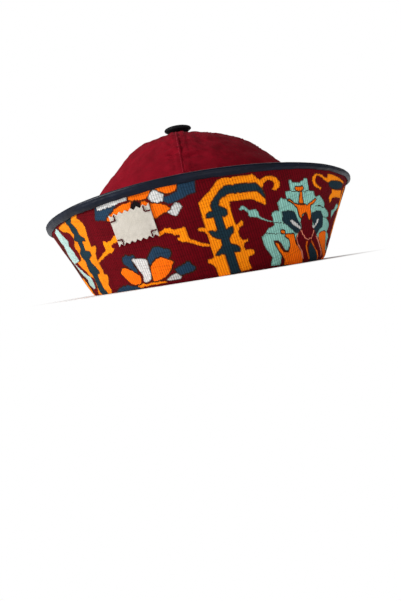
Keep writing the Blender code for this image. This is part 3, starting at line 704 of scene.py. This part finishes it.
def cuff_face(name, half, material):
    """Half of the cuff's patterned face: ribs as relief, each small cell one flat colour."""
    step = RIB / 4
    xs = np.arange(-172, 219, step)
    rows_fold, rows_face = 8, 128
    v = np.concatenate([np.linspace(-FOLD_MM / SLANT_MM, 0, rows_fold + 1)[:-1], np.linspace(0, FACE_TOP, rows_face + 1)])
    X, V = np.meshgrid(xs, v, indexing="ij")
    rho = RHO0 + SLANT_MM * np.clip(V, 0, None)
    # columns follow the ribs, which lean a little in the flat cloth
    Xl = X - RIB_LEAN * (V * SLANT_MM - 35)
    Xl = np.clip(Xl, -rho * 0.94, rho * 0.94)
    turn = angle_at(np.arcsin(Xl / rho) * RHO0 / 1000)
    flat = np.stack([turn, V, 0 * V], -1).reshape(-1, 3)
    mesh = mesh_from(name, flat, grid_faces(len(xs), len(v)))
    bm = bmesh.new()
    bm.from_mesh(mesh)
    for at, outer in ((PIECE_START, False), (PIECE_END, True)):
        bmesh.ops.bisect_plane(
            bm,
            geom=bm.verts[:] + bm.edges[:] + bm.faces[:],
            plane_co=(math.radians(at), 0, 0),
            plane_no=(1, 0, 0),
            dist=1e-7,
            clear_outer=outer,
            clear_inner=not outer,
        )
    bm.to_mesh(mesh)
    bm.free()
    co = np.empty(len(mesh.vertices) * 3, np.float32)
    mesh.vertices.foreach_get("co", co)
    turn, V = co.reshape(-1, 3)[:, 0].astype(float), co.reshape(-1, 3)[:, 1].astype(float)
    rho = RHO0 + SLANT_MM * np.clip(V, 0, None)
    om = walked(turn) * 1000 / RHO0
    fx, fy = rho * np.sin(om), rho * np.cos(om) - RHO0 + np.minimum(V, 0) * SLANT_MM
    rib_at = fx + RIB_LEAN * (V * SLANT_MM - 35)
    rib = np.abs(np.sin(np.pi * rib_at / RIB)) ** 0.8
    noise = waves(fx / 1000, fy / 1000, 21, 12, 60, 260)
    seam_mm = np.minimum(turn - math.radians(PIECE_START), math.radians(PIECE_END) - turn) * 112
    lift = 0.00030 * rib + 0.00005 * noise - 0.0007 * (1 - smooth(seam_mm, 0.2, 2.2)) - 0.00012
    hat_turn = turn + (0 if half == 0 else math.pi)
    lift = lift + cuff_undulation(hat_turn, V)
    # pulled in a little under the binding and at the foot
    lift = lift - 0.0004 * smooth(V, 0.86, 0.93) - 0.0002 * (1 - smooth(V, 0.0, 0.04))
    points = face_point(hat_turn, V, lift)
    mesh.vertices.foreach_set("co", points.astype(np.float32).ravel())
    # colours, one to each cell
    count = len(mesh.polygons)
    total = np.empty(count, np.int32)
    mesh.polygons.foreach_get("loop_total", total)
    index = np.empty(len(mesh.loops), np.int32)
    mesh.loops.foreach_get("vertex_index", index)
    face_of = np.repeat(np.arange(count), total)
    cx = np.bincount(face_of, fx[index]) / total
    cy = np.bincount(face_of, fy[index]) / total
    cr = np.bincount(face_of, rib_at[index]) / total
    rng = np.random.default_rng(5 + half)
    ribs = np.floor(cr / RIB).astype(int)
    wefts = np.floor(cy / 0.62).astype(int)
    rib_tone = rng.normal(1, 0.045, 400)[ribs % 400]
    weft_tone = rng.normal(1, 0.03, 700)[wefts % 700]
    # short darker lines across the ribs, where a weft shows
    line_at = np.floor(cy / 2.4).astype(int)
    run_of = np.floor((ribs + 7 * line_at) / 6).astype(int)
    shown = rng.random((97, 89))[line_at % 97, run_of % 89] < 0.45
    weft_line = 1 - 0.24 * (shown & (np.mod(cy, 2.4) < 0.62))
    # the outline steps a little from rib to rib, as woven edges do
    jitter = rng.uniform(-0.35, 0.35, 400)[ribs % 400]
    colour = painted(cx, cy + jitter)
    # painted shade: each cell is darkened towards the groove between two ribs, where shade falls, on top of the
    # ribs' own relief
    groove = 1 - 0.50 * (1 - smooth(np.abs(np.sin(np.pi * cr / RIB)), 0.0, 0.90))
    speck = rng.normal(1, 0.05, count)
    colour = colour * (1.22 * rib_tone * weft_tone * weft_line * groove * speck)[:, None]
    corner_colours(mesh, "woven", np.clip(colour, 0, 1))
    vector_attribute(mesh, "cloth", np.stack([fx / 1000, fy / 1000, 0 * fx], -1))
    face_uv(mesh, np.stack([turn * 0.11 * 1000, V * SLANT_MM], -1))
    mesh.update()
    return add_piece(name, mesh, material, "cuff_cloth", "cuff")


def section_ring(name, section, steps, shape=None, flat_scale=0.11):
    """A closed section of (out, z) rows carried round the head; shape(angle, k) returns what to add to out and z."""
    section = np.asarray(section, float)
    angle = np.linspace(-math.pi, math.pi, steps, endpoint=False)
    A, K = np.meshgrid(angle, np.arange(len(section)), indexing="ij")
    out, z = section[K, 0], section[K, 1]
    if shape is not None:
        d_out, d_z = shape(A, out, z)
        out, z = out + d_out, z + d_z
    points = ring_point(A, out, z).reshape(-1, 3)
    columns, rows = len(angle), len(section)
    i = np.arange(columns)[:, None]
    j = np.arange(rows)[None, :]
    a = i * rows + j
    b = ((i + 1) % columns) * rows + j
    c = ((i + 1) % columns) * rows + (j + 1) % rows
    d = i * rows + (j + 1) % rows
    quads = np.stack([a, b, c, d], -1).reshape(-1, 4)
    mesh = mesh_from(name, points, quads)
    run = np.concatenate([[0], np.cumsum(np.hypot(*np.diff(section, axis=0).T))])
    vector_attribute(mesh, "cloth", np.stack([A * flat_scale, run[K], 0 * A], -1).reshape(-1, 3))
    return mesh


def outward(mesh):
    """Faces turned out of a closed mesh."""
    bm = bmesh.new()
    bm.from_mesh(mesh)
    bmesh.ops.recalc_face_normals(bm, faces=bm.faces)
    bm.to_mesh(mesh)
    bm.free()
    mesh.update()


def rows_between(a, b, n):
    return [(a[0] + (b[0] - a[0]) * i / n, a[1] + (b[1] - a[1]) * i / n) for i in range(n)]


def cuff_facing(material):
    """The cuff's wall behind its patterned face: plain facing inside, turned foot below."""
    top = CUFF_H - BIND_T - GAP

    def at(z, back):
        return (CUFF_FLARE * z / CUFF_H - back, z)

    section = []
    section += rows_between(at(top, 0.0009), at(top, WALL_OUT - 0.0003), 3)
    section += rows_between(at(top, WALL_OUT), at(FOOT_T + 0.0012, WALL_OUT), 46)
    section += rows_between(at(FOOT_T + 0.0012, WALL_OUT), (-WALL_OUT - 0.0012, FOOT_T), 3)
    section += rows_between((-WALL_OUT - 0.0012, FOOT_T), (-FOOT_LIP, FOOT_T), 4)
    section += rows_between((-FOOT_LIP, FOOT_T), (-FOOT_LIP, 0.0009), 2)
    section += rows_between((-FOOT_LIP, 0.0009), (-0.0030, 0.0009), 4)
    section += rows_between((-0.0030, 0.0009), at(0.0040, 0.0016), 2)
    section += rows_between(at(0.0040, 0.0016), at(top, 0.0009), 6)

    def shape(angle, out, z):
        inner = (out < CUFF_FLARE * z / CUFF_H - 0.002) & (z > FOOT_T + 0.0005) & (z < top * 0.98)
        v = z / CUFF_H
        soft = cuff_undulation(angle, v) * 0.6 + 0.0002 * waves(angle * 0.11, z, 33, 10, 20, 90)
        return np.where(inner, soft, 0.0), 0 * z

    mesh = section_ring("cuff_facing", section, 720, shape)
    outward(mesh)
    return add_piece("cuff_facing", mesh, material, "cuff_cloth", "cuff")


def binding_piece(material):
    """Bias strip folded over the rim, a little uneven where the stitches draw it."""
    leg = BIND_T * SLANT / CUFF_H
    gap = GAP * SLANT / CUFF_H
    low = CUFF_H - BIND_H
    roof = CUFF_H - BIND_T
    top_mid = (CUFF_FLARE - WALL_OUT / 2, CUFF_H)
    rim_half = WALL_OUT / 2 + gap + leg

    def at(z, off):
        return (CUFF_FLARE * z / CUFF_H + off, z)

    section = []
    outer_low, outer_high = at(low, gap + leg * 0.55), at(CUFF_H - 0.0020, gap + leg)
    section += rows_between(at(low, gap), outer_low, 2)
    for i in range(8):
        t = i / 8
        z = low + (CUFF_H - 0.0020 - low) * t
        belly = math.sin(math.pi * min(1.0, t * 1.1)) * 0.00055
        section.append(at(z, gap + leg * (0.50 + 0.50 * min(1, t * 2.5)) + belly))
    for i in range(9):
        a = math.pi * i / 8
        section.append((top_mid[0] + rim_half * math.cos(a) - (1 - math.sin(a)) * 0.0009, CUFF_H - 0.0020 + 0.0020 * math.sin(a)))
    for i in range(1, 8):
        t = 1 - i / 8
        z = low + (CUFF_H - 0.0020 - low) * t
        section.append(at(z, -WALL_OUT - gap - leg * (0.55 + 0.45 * min(1, t * 3))))
    section += rows_between(at(low, -WALL_OUT - gap - leg * 0.5), at(low, -WALL_OUT - gap), 2)
    section += [at(low, -WALL_OUT - gap), at(roof, -WALL_OUT - gap), at(roof, gap)]

    def shape(angle, out, z):
        a = angle * 0.13
        soft = waves(a, 0 * a, 51, 12, 10, 70)
        pull = waves(a, z * 3, 52, 14, 90, 260)
        outer = smooth(z, low - 0.001, CUFF_H)
        lower = 1 - smooth(z, low, low + 0.003)
        share = np.clip((CUFF_H - 0.0020 - z) / (CUFF_H - 0.0020 - low), 0, 1)
        drop = BIND_WIDER * share * (0.5 + 0.5 * np.cos(angle - math.radians(BIND_WIDER_DEG))) ** 2
        d_z = (0.00022 * soft * outer + 0.00035 * waves(a, 0 * a, 53, 10, 20, 120) * lower) * (z < CUFF_H - 0.001)
        return (0.00018 * soft + 0.00010 * pull) * 0.8 - drop * CUFF_FLARE / CUFF_H, d_z - drop

    mesh = section_ring("binding_strip", section, 900, shape, 0.13)
    outward(mesh)
    return add_piece("binding_strip", mesh, material, "binding_cloth", "binding")


# ---------------------------------------------------------------- the crown
CROWN_PROFILE = (
    # radius, height
    (0.9590, 0.000),
    (0.9510, 0.170),
    (0.9310, 0.344),
    (0.8960, 0.499),
    (0.8460, 0.599),
    (0.7850, 0.673),
    (0.7120, 0.734),
    (0.6420, 0.786),
    (0.5570, 0.844),
    (0.4730, 0.897),
    (0.3860, 0.936),
    (0.2650, 0.966),
    (0.1330, 0.983),
    (0.0180, 1.000),
)
CROWN_FOLDS = (
    # name, angle_deg, height, turn_deg, rise, depth_m
    ("right_shoulder", -128.0, 0.78, 26.0, 0.11, 0.0016),
    ("front_seam_pucker", -44.0, 0.72, 12.0, 0.05, 0.0012),
    ("left_shoulder", 52.0, 0.80, 24.0, 0.10, -0.0014),
    ("back_slump", 172.0, 0.82, 34.0, 0.14, 0.0018),
    ("front_fullness", -10.0, 0.66, 26.0, 0.14, -0.0003),
    ("front_top", 10.0, 0.93, 45.0, 0.06, 0.0018),
)
SEAM_RIDGE, SEAM_REACH = 0.0012, 0.0120
# Short creases beside the near seam and slack ripples, in the cloth's surface only.
CROWN_PUCKERS = (
    # name, angle_deg, height, turn_deg, rise, depth_m
    ("tuck_over", -50.6, 0.809, 4.0, 0.0120, -0.0016),
    ("tuck_under", -50.8, 0.785, 3.8, 0.0100, 0.0024),
    ("low_tuck_over", -51.4, 0.766, 3.0, 0.0070, -0.0006),
    ("low_tuck_under", -51.4, 0.753, 3.0, 0.0080, 0.0014),
    ("right_tuck_over", -39.0, 0.772, 5.0, 0.0110, -0.0010),
    ("right_tuck_under", -39.5, 0.750, 4.4, 0.0100, 0.0018),
    ("low_by_rim", -66.0, 0.655, 12.0, 0.018, 0.0007),
    ("upper_left", -78.0, 0.86, 14.0, 0.022, 0.0008),
    ("upper_right", -12.0, 0.85, 13.0, 0.020, 0.0008),
    ("lower_right", 8.0, 0.735, 13.0, 0.020, 0.0007),
)


def smooth_profile(n):
    """The side view as n even steps of a smooth curve through the CAD's stations."""
    p = np.array(CROWN_PROFILE) * [BASE_R, CROWN_H - FOOT_T - GAP] + [0, FOOT_T + GAP]
    run = np.concatenate([[0], np.cumsum(np.hypot(*np.diff(p, axis=0).T))])
    tangent = np.gradient(p, run, axis=0)
    at = np.linspace(0, run[-1], n)
    k = np.clip(np.searchsorted(run, at, side="right") - 1, 0, len(run) - 2)
    h = (run[k + 1] - run[k])[:, None]
    t = ((at - run[k]) / h[:, 0])[:, None]
    q = (
        (2 * t**3 - 3 * t**2 + 1) * p[k]
        + (t**3 - 2 * t**2 + t) * h * tangent[k]
        + (-2 * t**3 + 3 * t**2) * p[k + 1]
        + (t**3 - t**2) * h * tangent[k + 1]
    )
    return q, at


def crown_surface(angle, r, z, run):
    """The crown's cloth with its hollows, seams and fine creases; angle in radians round the hat."""
    foot = FOOT_T + GAP
    h = (z - foot) / (CROWN_H - foot)
    sag = 0 * angle
    for _name, at_deg, at_h, turn, rise, depth in CROWN_FOLDS:
        away = (np.degrees(angle) - at_deg + 180.0) % 360.0 - 180.0
        sag = sag + depth * np.exp(-((away / turn) ** 2) - ((h - at_h) / rise) ** 2)
    quarter = math.pi / 4
    to_seam = (angle - quarter) % (2 * quarter)
    to_seam = np.minimum(to_seam, 2 * quarter - to_seam)
    sag = sag + SEAM_RIDGE * (0.5 - np.exp(-to_seam * r / SEAM_REACH)) * np.clip(h / 0.5, 0, 1)
    mm = to_seam * r * 1000
    # the felled seam: turnings beneath raise a band, and the join itself is a groove
    band = 0.00045 * (1 - smooth(mm, 4.2, 6.4)) * smooth(r, 0.010, 0.022)
    groove = 0.00022 * np.exp(-((mm / 0.55) ** 2)) * smooth(r, 0.004, 0.016)
    row = 0.00012 * np.exp(-(((mm - 1.35) / 0.5) ** 2))
    for _name, at_deg, at_h, turn, rise, depth in CROWN_PUCKERS:
        away = (np.degrees(angle) - at_deg + 180.0) % 360.0 - 180.0
        sag = sag + depth * np.exp(-((away / turn) ** 2) - ((h - at_h) / rise) ** 2)
    # cloth drawn in small ripples beside the stitching
    ripple = 0.00022 * np.sin(run * 2 * math.pi / 0.0062 + 3 * np.sin(run * 90)) * np.exp(-(((mm - 5) / 4.0) ** 2)) * smooth(r, 0.02, 0.05)
    creases = 0.00040 * waves(angle * 0.08, run, 61, 14, 9, 45) + 0.00024 * waves(angle * 0.08, run, 62, 16, 50, 150)
    level = np.clip((h - 0.45) / 0.5, 0, 1)
    out = -sag + band - groove - row + ripple + creases * smooth(r, 0.008, 0.03)
    r = r + out * (1 - 0.7 * level)
    z = z + out * level * (h < 0.985)
    x = r * np.sin(angle) * AX / BASE_R + CROWN_LEAN[0] * h * h
    y = -r * np.cos(angle) * AY / BASE_R + CROWN_LEAN[1] * h * h
    return np.stack([x, y, z], -1)


def crown_rows(n):
    """The side view in n steps, closest together where the creases are."""
    q, run = smooth_profile(900)
    t = np.linspace(0, 1, n)
    at = t - 0.6 * (np.sin(2 * np.pi * (t - 0.6)) + math.sin(2 * math.pi * 0.6)) / (2 * np.pi)
    at = at * run[-1]
    return np.stack([np.interp(at, run, q[:, 0]), np.interp(at, run, q[:, 1])], -1), at


def crown_piece(name, middle_deg, node, material):
    n_turn, n_run = 106, 170
    q, run = crown_rows(n_run)
    spread = np.linspace(-1, 1, n_turn)
    # more columns beside the seams
    spread = np.sign(spread) * (1 - (1 - np.abs(spread)) ** 1.25)
    turn = math.radians(middle_deg) + spread * math.radians(45)
    A, K = np.meshgrid(turn, np.arange(n_run), indexing="ij")
    points = crown_surface(A, q[K, 0], q[K, 1], run[K])
    # the panels meet at the seam
    middle = math.radians(middle_deg)
    points += np.array([math.sin(middle), -math.cos(middle), 0]) * 0.00004
    mesh = mesh_from(name, points.reshape(-1, 3), grid_faces(n_turn, n_run))
    flat = np.stack([(A - middle) * q[K, 0], run[K], 0 * A], -1).reshape(-1, 3)
    vector_attribute(mesh, "cloth", flat)
    face_uv(mesh, np.stack([(A - middle) * 0.085, run[K]], -1).reshape(-1, 2))
    obj = add_piece(name, mesh, material, "crown_cloth", node)
    wall = obj.modifiers.new("cloth wall", "SOLIDIFY")
    wall.thickness = CROWN_T * 0.8
    wall.offset = -1.0
    return obj


def stitch_mesh(name, stitches, radius, sides=6, rings=5):
    """Many short threads as one mesh. Each stitch is (start, end, out): it dives in at both ends."""
    points, quads = [], []
    base = 0
    for start, end, out in stitches:
        start, end, out = np.array(start), np.array(end), np.array(out)
        way = end - start
        length = np.linalg.norm(way)
        if length < 1e-6:
            continue
        way = way / length
        side = np.cross(way, out)
        side /= np.linalg.norm(side)
        up = np.cross(side, way)
        for i in range(rings):
            t = i / (rings - 1)
            thick = radius * (0.55 + 0.45 * math.sin(math.pi * t))
            centre = start + way * length * t + up * (radius * 1.1 * math.sin(math.pi * t) - radius * 0.55)
            for k in range(sides):
                a = 2 * math.pi * k / sides
                points.append(centre + side * thick * math.cos(a) + up * thick * math.sin(a))
        for i in range(rings - 1):
            for k in range(sides):
                n = (k + 1) % sides
                quads.append((base + i * sides + k, base + i * sides + n, base + (i + 1) * sides + n, base + (i + 1) * sides + k))
        first = base
        last = base + (rings - 1) * sides
        quads.append((first, first + 3, first + 2, first + 1))
        quads.append((first, first + 5, first + 4, first + 3))
        quads.append((last, last + 1, last + 2, last + 3))
        quads.append((last, last + 3, last + 4, last + 5))
        base += rings * sides
    return mesh_from(name, np.array(points), np.array(quads, dtype=np.int64))


def crown_topstitch(material):
    """A row of stitches beside each of the crown's seams, where its turnings are felled."""
    q, run = smooth_profile(600)
    stitches = []
    pitch, share = 0.0027, 0.74
    for seam_deg in (45, 135, 225, 315):
        seam = math.radians(seam_deg)
        for side in (-1,):
            at = 0.006
            while at < run[-1] - 0.011:
                ends = []
                for s in (at, at + pitch * share):
                    r = np.interp(s, run, q[:, 0])
                    z = np.interp(s, run, q[:, 1])
                    a = np.array([seam + side * 0.00135 / max(r, 0.004)])
                    p = crown_surface(a, np.array([r]), np.array([z]), np.array([s]))[0]
                    ends.append(p)
                outward_way = (ends[0] + ends[1]) / 2 - np.array([0, 0, 0.045])
                outward_way /= np.linalg.norm(outward_way)
                lift = outward_way * 0.00012
                stitches.append((ends[0] + lift, ends[1] + lift, outward_way))
                at += pitch
    mesh = stitch_mesh("crown_topstitch", stitches, 0.00030)
    return add_piece("crown_topstitch", mesh, material, "crown_cloth")


# ---------------------------------------------------------------- button
BUTTON_RIM = 0.0029     # height of its widest edge over the crown


def button_piece(material):
    steps, rings = 96, 30
    base = CROWN_H + GAP
    section = []
    for i in range(rings + 1):
        a = math.pi / 2 * i / rings
        section.append((BUTTON_R * math.cos(a) ** 0.72, base + BUTTON_RIM + (BUTTON_H - BUTTON_RIM) * math.sin(a)))
    low = [(0.0004, base - 0.0006), (BUTTON_R * 0.5, base - 0.0007), (BUTTON_R * 0.70, base - 0.0004), (BUTTON_R * 0.80, base + 0.0008), (BUTTON_R * 0.93, base + BUTTON_RIM - 0.0012), (BUTTON_R * 0.985, base + BUTTON_RIM - 0.0006)]
    section = low + section[:-1] + [(0.0004, base + BUTTON_H)]
    section = np.array(section)
    turn = np.linspace(0, 2 * math.pi, steps, endpoint=False)
    A, K = np.meshgrid(turn, np.arange(len(section)), indexing="ij")
    r, z = section[K, 0], section[K, 1]
    pleat = np.sin(A * 22 + 2 * np.sin(A * 3)) * 0.00010 * smooth(r, BUTTON_R * 0.82, BUTTON_R)
    r = r + pleat + 0.00012 * waves(A * 0.011, z, 81, 8, 40, 140) * smooth(r, 0, 0.006)
    points = np.stack([r * np.sin(A) + CROWN_LEAN[0], -r * np.cos(A) + CROWN_LEAN[1], z], -1).reshape(-1, 3)
    rows = len(section)
    i = np.arange(steps)[:, None]
    j = np.arange(rows - 1)[None, :]
    a = i * rows + j
    b = ((i + 1) % steps) * rows + j
    quads = np.stack([a, b, b + 1, a + 1], -1).reshape(-1, 4)
    mesh = mesh_from("crown_button", points, quads)
    bm = bmesh.new()
    bm.from_mesh(mesh)
    bmesh.ops.holes_fill(bm, edges=[e for e in bm.edges if e.is_boundary], sides=0)
    bmesh.ops.recalc_face_normals(bm, faces=bm.faces)
    bm.to_mesh(mesh)
    bm.free()
    return add_piece("crown_button", mesh, material, "button_cloth", "top_button")


# ---------------------------------------------------------------- patch
LABEL_W, LABEL_H, LABEL_T = 0.0340, 0.0222, 0.0009
LABEL_AT_DEG, LABEL_RISE, LABEL_TURN_DEG = -65.6, 0.643, 2.5
LABEL_LEAN = 0.09
LABEL_TEETH = 7


def patch_surface(s, t, lift):
    """A point of the patch: s along it, t up it, both in metres from its middle."""
    c, d = math.cos(math.radians(LABEL_TURN_DEG)), math.sin(math.radians(LABEL_TURN_DEG))
    s = s + t * LABEL_LEAN
    s, t = s * c - t * d, s * d + t * c
    v = LABEL_RISE + t / SLANT
    out = CUFF_FLARE * v
    # the angle reached after walking s at that height of the cuff
    centre = math.radians(LABEL_AT_DEG)
    speed = math.hypot((AX + 0.02) * math.cos(centre), (AY + 0.02) * math.sin(centre))
    angle = centre + s / (speed + (out - 0.02))
    return ring_point(angle, out + lift * COS_F, CUFF_H * v - lift * SIN_F)


def patch_piece(material):
    columns, rows = 96, 60
    s = np.linspace(-0.5, 0.5, columns + 1) * LABEL_W
    t = np.linspace(-0.5, 0.5, rows + 1)
    S, T = np.meshgrid(s, t, indexing="ij")
    phase = (S / LABEL_W + 0.5) * LABEL_TEETH
    saw = np.abs((phase % 1) - 0.5) * 4 - 1
    reach = LABEL_H / 2 + 0.0010 * saw
    Y = T * 2 * reach
    edge = np.minimum(LABEL_W / 2 - np.abs(S), reach - np.abs(Y))
    curl = 0.00028 * (1 - smooth(edge, 0, 0.0035)) * (0.4 + 0.6 * waves(S, Y, 91, 6, 20, 60) ** 2)
    puff = 0.00022 * smooth(edge, 0.001, 0.007)
    pull = 0
    for cx in (-1, 1):
        for cy in (-1, 1):
            d = np.hypot(S - cx * (LABEL_W / 2 - 0.0036), Y - cy * (LABEL_H / 2 - 0.0034))
            pull = pull + 0.00028 * np.exp(-((d / 0.0016) ** 2))
    lift = 0.00105 + curl + puff - pull + 0.00006 * waves(S, Y, 92, 10, 80, 300)
    points = patch_surface(S, Y, lift).reshape(-1, 3)
    mesh = mesh_from("cuff_patch", points, grid_faces(columns + 1, rows + 1))
    vector_attribute(mesh, "cloth", np.stack([S, Y, 0 * S], -1).reshape(-1, 3))
    face_uv(mesh, np.stack([S, Y], -1).reshape(-1, 2))
    obj = add_piece("cuff_patch", mesh, material, "patch_cloth", "label")
    wall = obj.modifiers.new("patch cloth", "SOLIDIFY")
    wall.thickness = 0.0006
    wall.offset = -1.0
    return obj


def patch_tacks(material):
    """An L-shaped tack across each corner of the patch."""
    stitches = []
    arm = 0.0046
    for cx in (-1, 1):
        for cy in (-1, 1):
            corner = (cx * (LABEL_W / 2 - arm), cy * (LABEL_H / 2 - arm * 0.86))
            for way, reach in (((cx, 0), arm), ((0, cy), arm * 0.86 + 0.0004)):
                n = 2
                for i in range(n):
                    a = [(corner[0] + way[0] * reach * u, corner[1] + way[1] * reach * u) for u in (i / n, (i + 0.97) / n)]
                    p = [patch_surface(np.array(x), np.array(y), 0.00145) for x, y in a]
                    mid = (p[0] + p[1]) / 2
                    out = np.array([mid[0], mid[1], 0]) / np.hypot(mid[0], mid[1]) * COS_F + np.array([0, 0, -SIN_F])
                    stitches.append((p[0], p[1], out))
    mesh = stitch_mesh("patch_tacks", stitches, 0.00056)
    return add_piece("patch_tacks", mesh, material, "patch_cloth")


# ---------------------------------------------------------------- stage, light, camera
BACKDROP = 1.0        # brightness of the pale surround


def floor_material():
    """Pale matt floor whose far part glows like the surround, so that no horizon shows."""
    c = Cloth("floor_pale", 0.9, specular=0.1)
    place = c.node("ShaderNodeTexCoord").outputs["Object"]
    c.colour(c.ramp(c.noise(place, 3.0, 1.0), rgba((236, 235, 234), 0.995), rgba((236, 235, 234), 1.0)))
    length = c.node("ShaderNodeVectorMath", operation="LENGTH")
    c.link(place, length.inputs[0])
    fade = c.node("ShaderNodeMapRange", interpolation_type="SMOOTHSTEP")
    fade.inputs["From Min"].default_value, fade.inputs["From Max"].default_value = 0.098, 0.155
    c.link(length.outputs["Value"], fade.inputs["Value"])
    glow = c.node("ShaderNodeEmission")
    glow.inputs["Color"].default_value = (1, 1, 1, 1)
    glow.inputs["Strength"].default_value = BACKDROP
    mix = c.node("ShaderNodeMixShader")
    c.link(fade.outputs["Result"], mix.inputs[0])
    c.link(c.shader.outputs[0], mix.inputs[1])
    c.link(glow.outputs[0], mix.inputs[2])
    c.link(mix.outputs[0], c.tree.nodes["Material Output"].inputs["Surface"])
    return c.mat


def stage():
    ring = [(12 * math.cos(a), 12 * math.sin(a), 0.0) for a in np.linspace(0, 2 * math.pi, 64, endpoint=False)]
    mesh = bpy.data.meshes.new("floor")
    mesh.from_pydata(ring, [], [tuple(range(64))])
    floor = bpy.data.objects.new("floor", mesh)
    bpy.context.scene.collection.objects.link(floor)
    mesh.materials.append(floor_material())


def area_light(name, place, target, size, power, colour=(1, 1, 1)):
    data = bpy.data.lights.new(name, "AREA")
    data.shape = "DISK"
    data.size = size
    data.energy = power
    data.color = colour
    obj = bpy.data.objects.new(name, data)
    obj.location = place
    way = Vector(target) - Vector(place)
    obj.rotation_mode = "QUATERNION"
    obj.rotation_quaternion = way.to_track_quat("-Z", "Y")
    bpy.context.scene.collection.objects.link(obj)


CAM_AZ, CAM_D, CAM_Z = -41.0, 0.60, 0.005
CAM_YAW, CAM_PITCH, CAM_ROLL, CAM_F = 0.82, -2.235, -9.20, 705.0


def camera():
    az, yaw, pitch, roll = (math.radians(x) for x in (CAM_AZ, CAM_YAW, CAM_PITCH, CAM_ROLL))
    place = Vector((CAM_D * math.sin(az), -CAM_D * math.cos(az), CAM_Z))
    level = Vector((-math.sin(az + yaw), math.cos(az + yaw), 0))
    right = Vector((level.y, -level.x, 0))
    up = Vector((0, 0, 1))
    ahead = level * math.cos(pitch) + up * math.sin(pitch)
    head = up * math.cos(pitch) - level * math.sin(pitch)
    r = right * math.cos(roll) + head * math.sin(roll)
    u = head * math.cos(roll) - right * math.sin(roll)
    data = bpy.data.cameras.new("camera")
    data.sensor_fit = "AUTO"
    data.sensor_width = 36.0
    data.lens = CAM_F * 36.0 / 601.0
    data.clip_start, data.clip_end = 0.01, 50
    obj = bpy.data.objects.new("camera", data)
    obj.matrix_world = Matrix.Translation(place) @ Matrix((r, u, -ahead)).transposed().to_4x4()
    bpy.context.scene.collection.objects.link(obj)
    bpy.context.scene.camera = obj


def lights():
    az = math.radians(CAM_AZ)
    toward = np.array([math.sin(az), -math.cos(az), 0])   # from the hat to the camera
    right = np.array([math.cos(az), math.sin(az), 0])     # to the picture's right
    up = np.array([0, 0, 1.0])

    def spot(a, b, c):
        return tuple(toward * a + right * b + up * c)

    area_light("key_left", spot(0.46, -1.52, 0.60), (0, 0, 0.06), 0.7, 37)
    area_light("front_low", spot(1.7, 0.15, 0.12), (0, 0, 0.03), 0.9, 9)
    area_light("fill_right", spot(1.3, 0.9, 0.3), (0, 0, 0.03), 1.2, 2.0)
    area_light("top_soft", spot(-0.3, -0.5, 1.7), (0, 0, 0.05), 1.3, 2.2)
    area_light("rim_back", spot(-1.2, 0.3, 0.9), (0, 0, 0.08), 0.8, 1.4)
    world = bpy.data.worlds.new("studio")
    world.use_nodes = True
    tree = world.node_tree
    soft = tree.nodes["Background"]
    soft.inputs["Color"].default_value = (1, 1, 1, 1)
    soft.inputs["Strength"].default_value = 0.27
    pale = tree.nodes.new("ShaderNodeBackground")
    pale.inputs["Color"].default_value = (1, 1, 1, 1)
    pale.inputs["Strength"].default_value = BACKDROP
    path = tree.nodes.new("ShaderNodeLightPath")
    mix = tree.nodes.new("ShaderNodeMixShader")
    tree.links.new(path.outputs["Is Camera Ray"], mix.inputs[0])
    tree.links.new(soft.outputs[0], mix.inputs[1])
    tree.links.new(pale.outputs[0], mix.inputs[2])
    tree.links.new(mix.outputs[0], tree.nodes["World Output"].inputs["Surface"])
    bpy.context.scene.world = world
    bpy.context.scene.view_settings.view_transform = "Standard"
    bpy.context.scene.view_settings.look = "None"


def main():
    camera()
    lights()
    stage()
    face = patterned_cloth()
    cuff_face("cuff_face_right", 0, face)
    cuff_face("cuff_face_left", 1, face)
    cuff_facing(plain_red("facing_red_cloth", (100, 6, 20), 0.0009))
    binding_piece(binding_cloth())
    crown = plain_red("crown_red_cotton", (115, 6, 23), 0.0007)
    crown_piece("crown_panel_front", 0, "crown_front", crown)
    crown_piece("crown_panel_left", 90, "crown_left", crown)
    crown_piece("crown_panel_back", 180, "crown_back", crown)
    crown_piece("crown_panel_right", 270, "crown_right", crown)
    crown_topstitch(thread("crown_thread", (146, 32, 48)))
    button_piece(button_cloth())
    patch_piece(patch_cloth())
    patch_tacks(thread("tack_thread", (74, 3, 14)))


main()
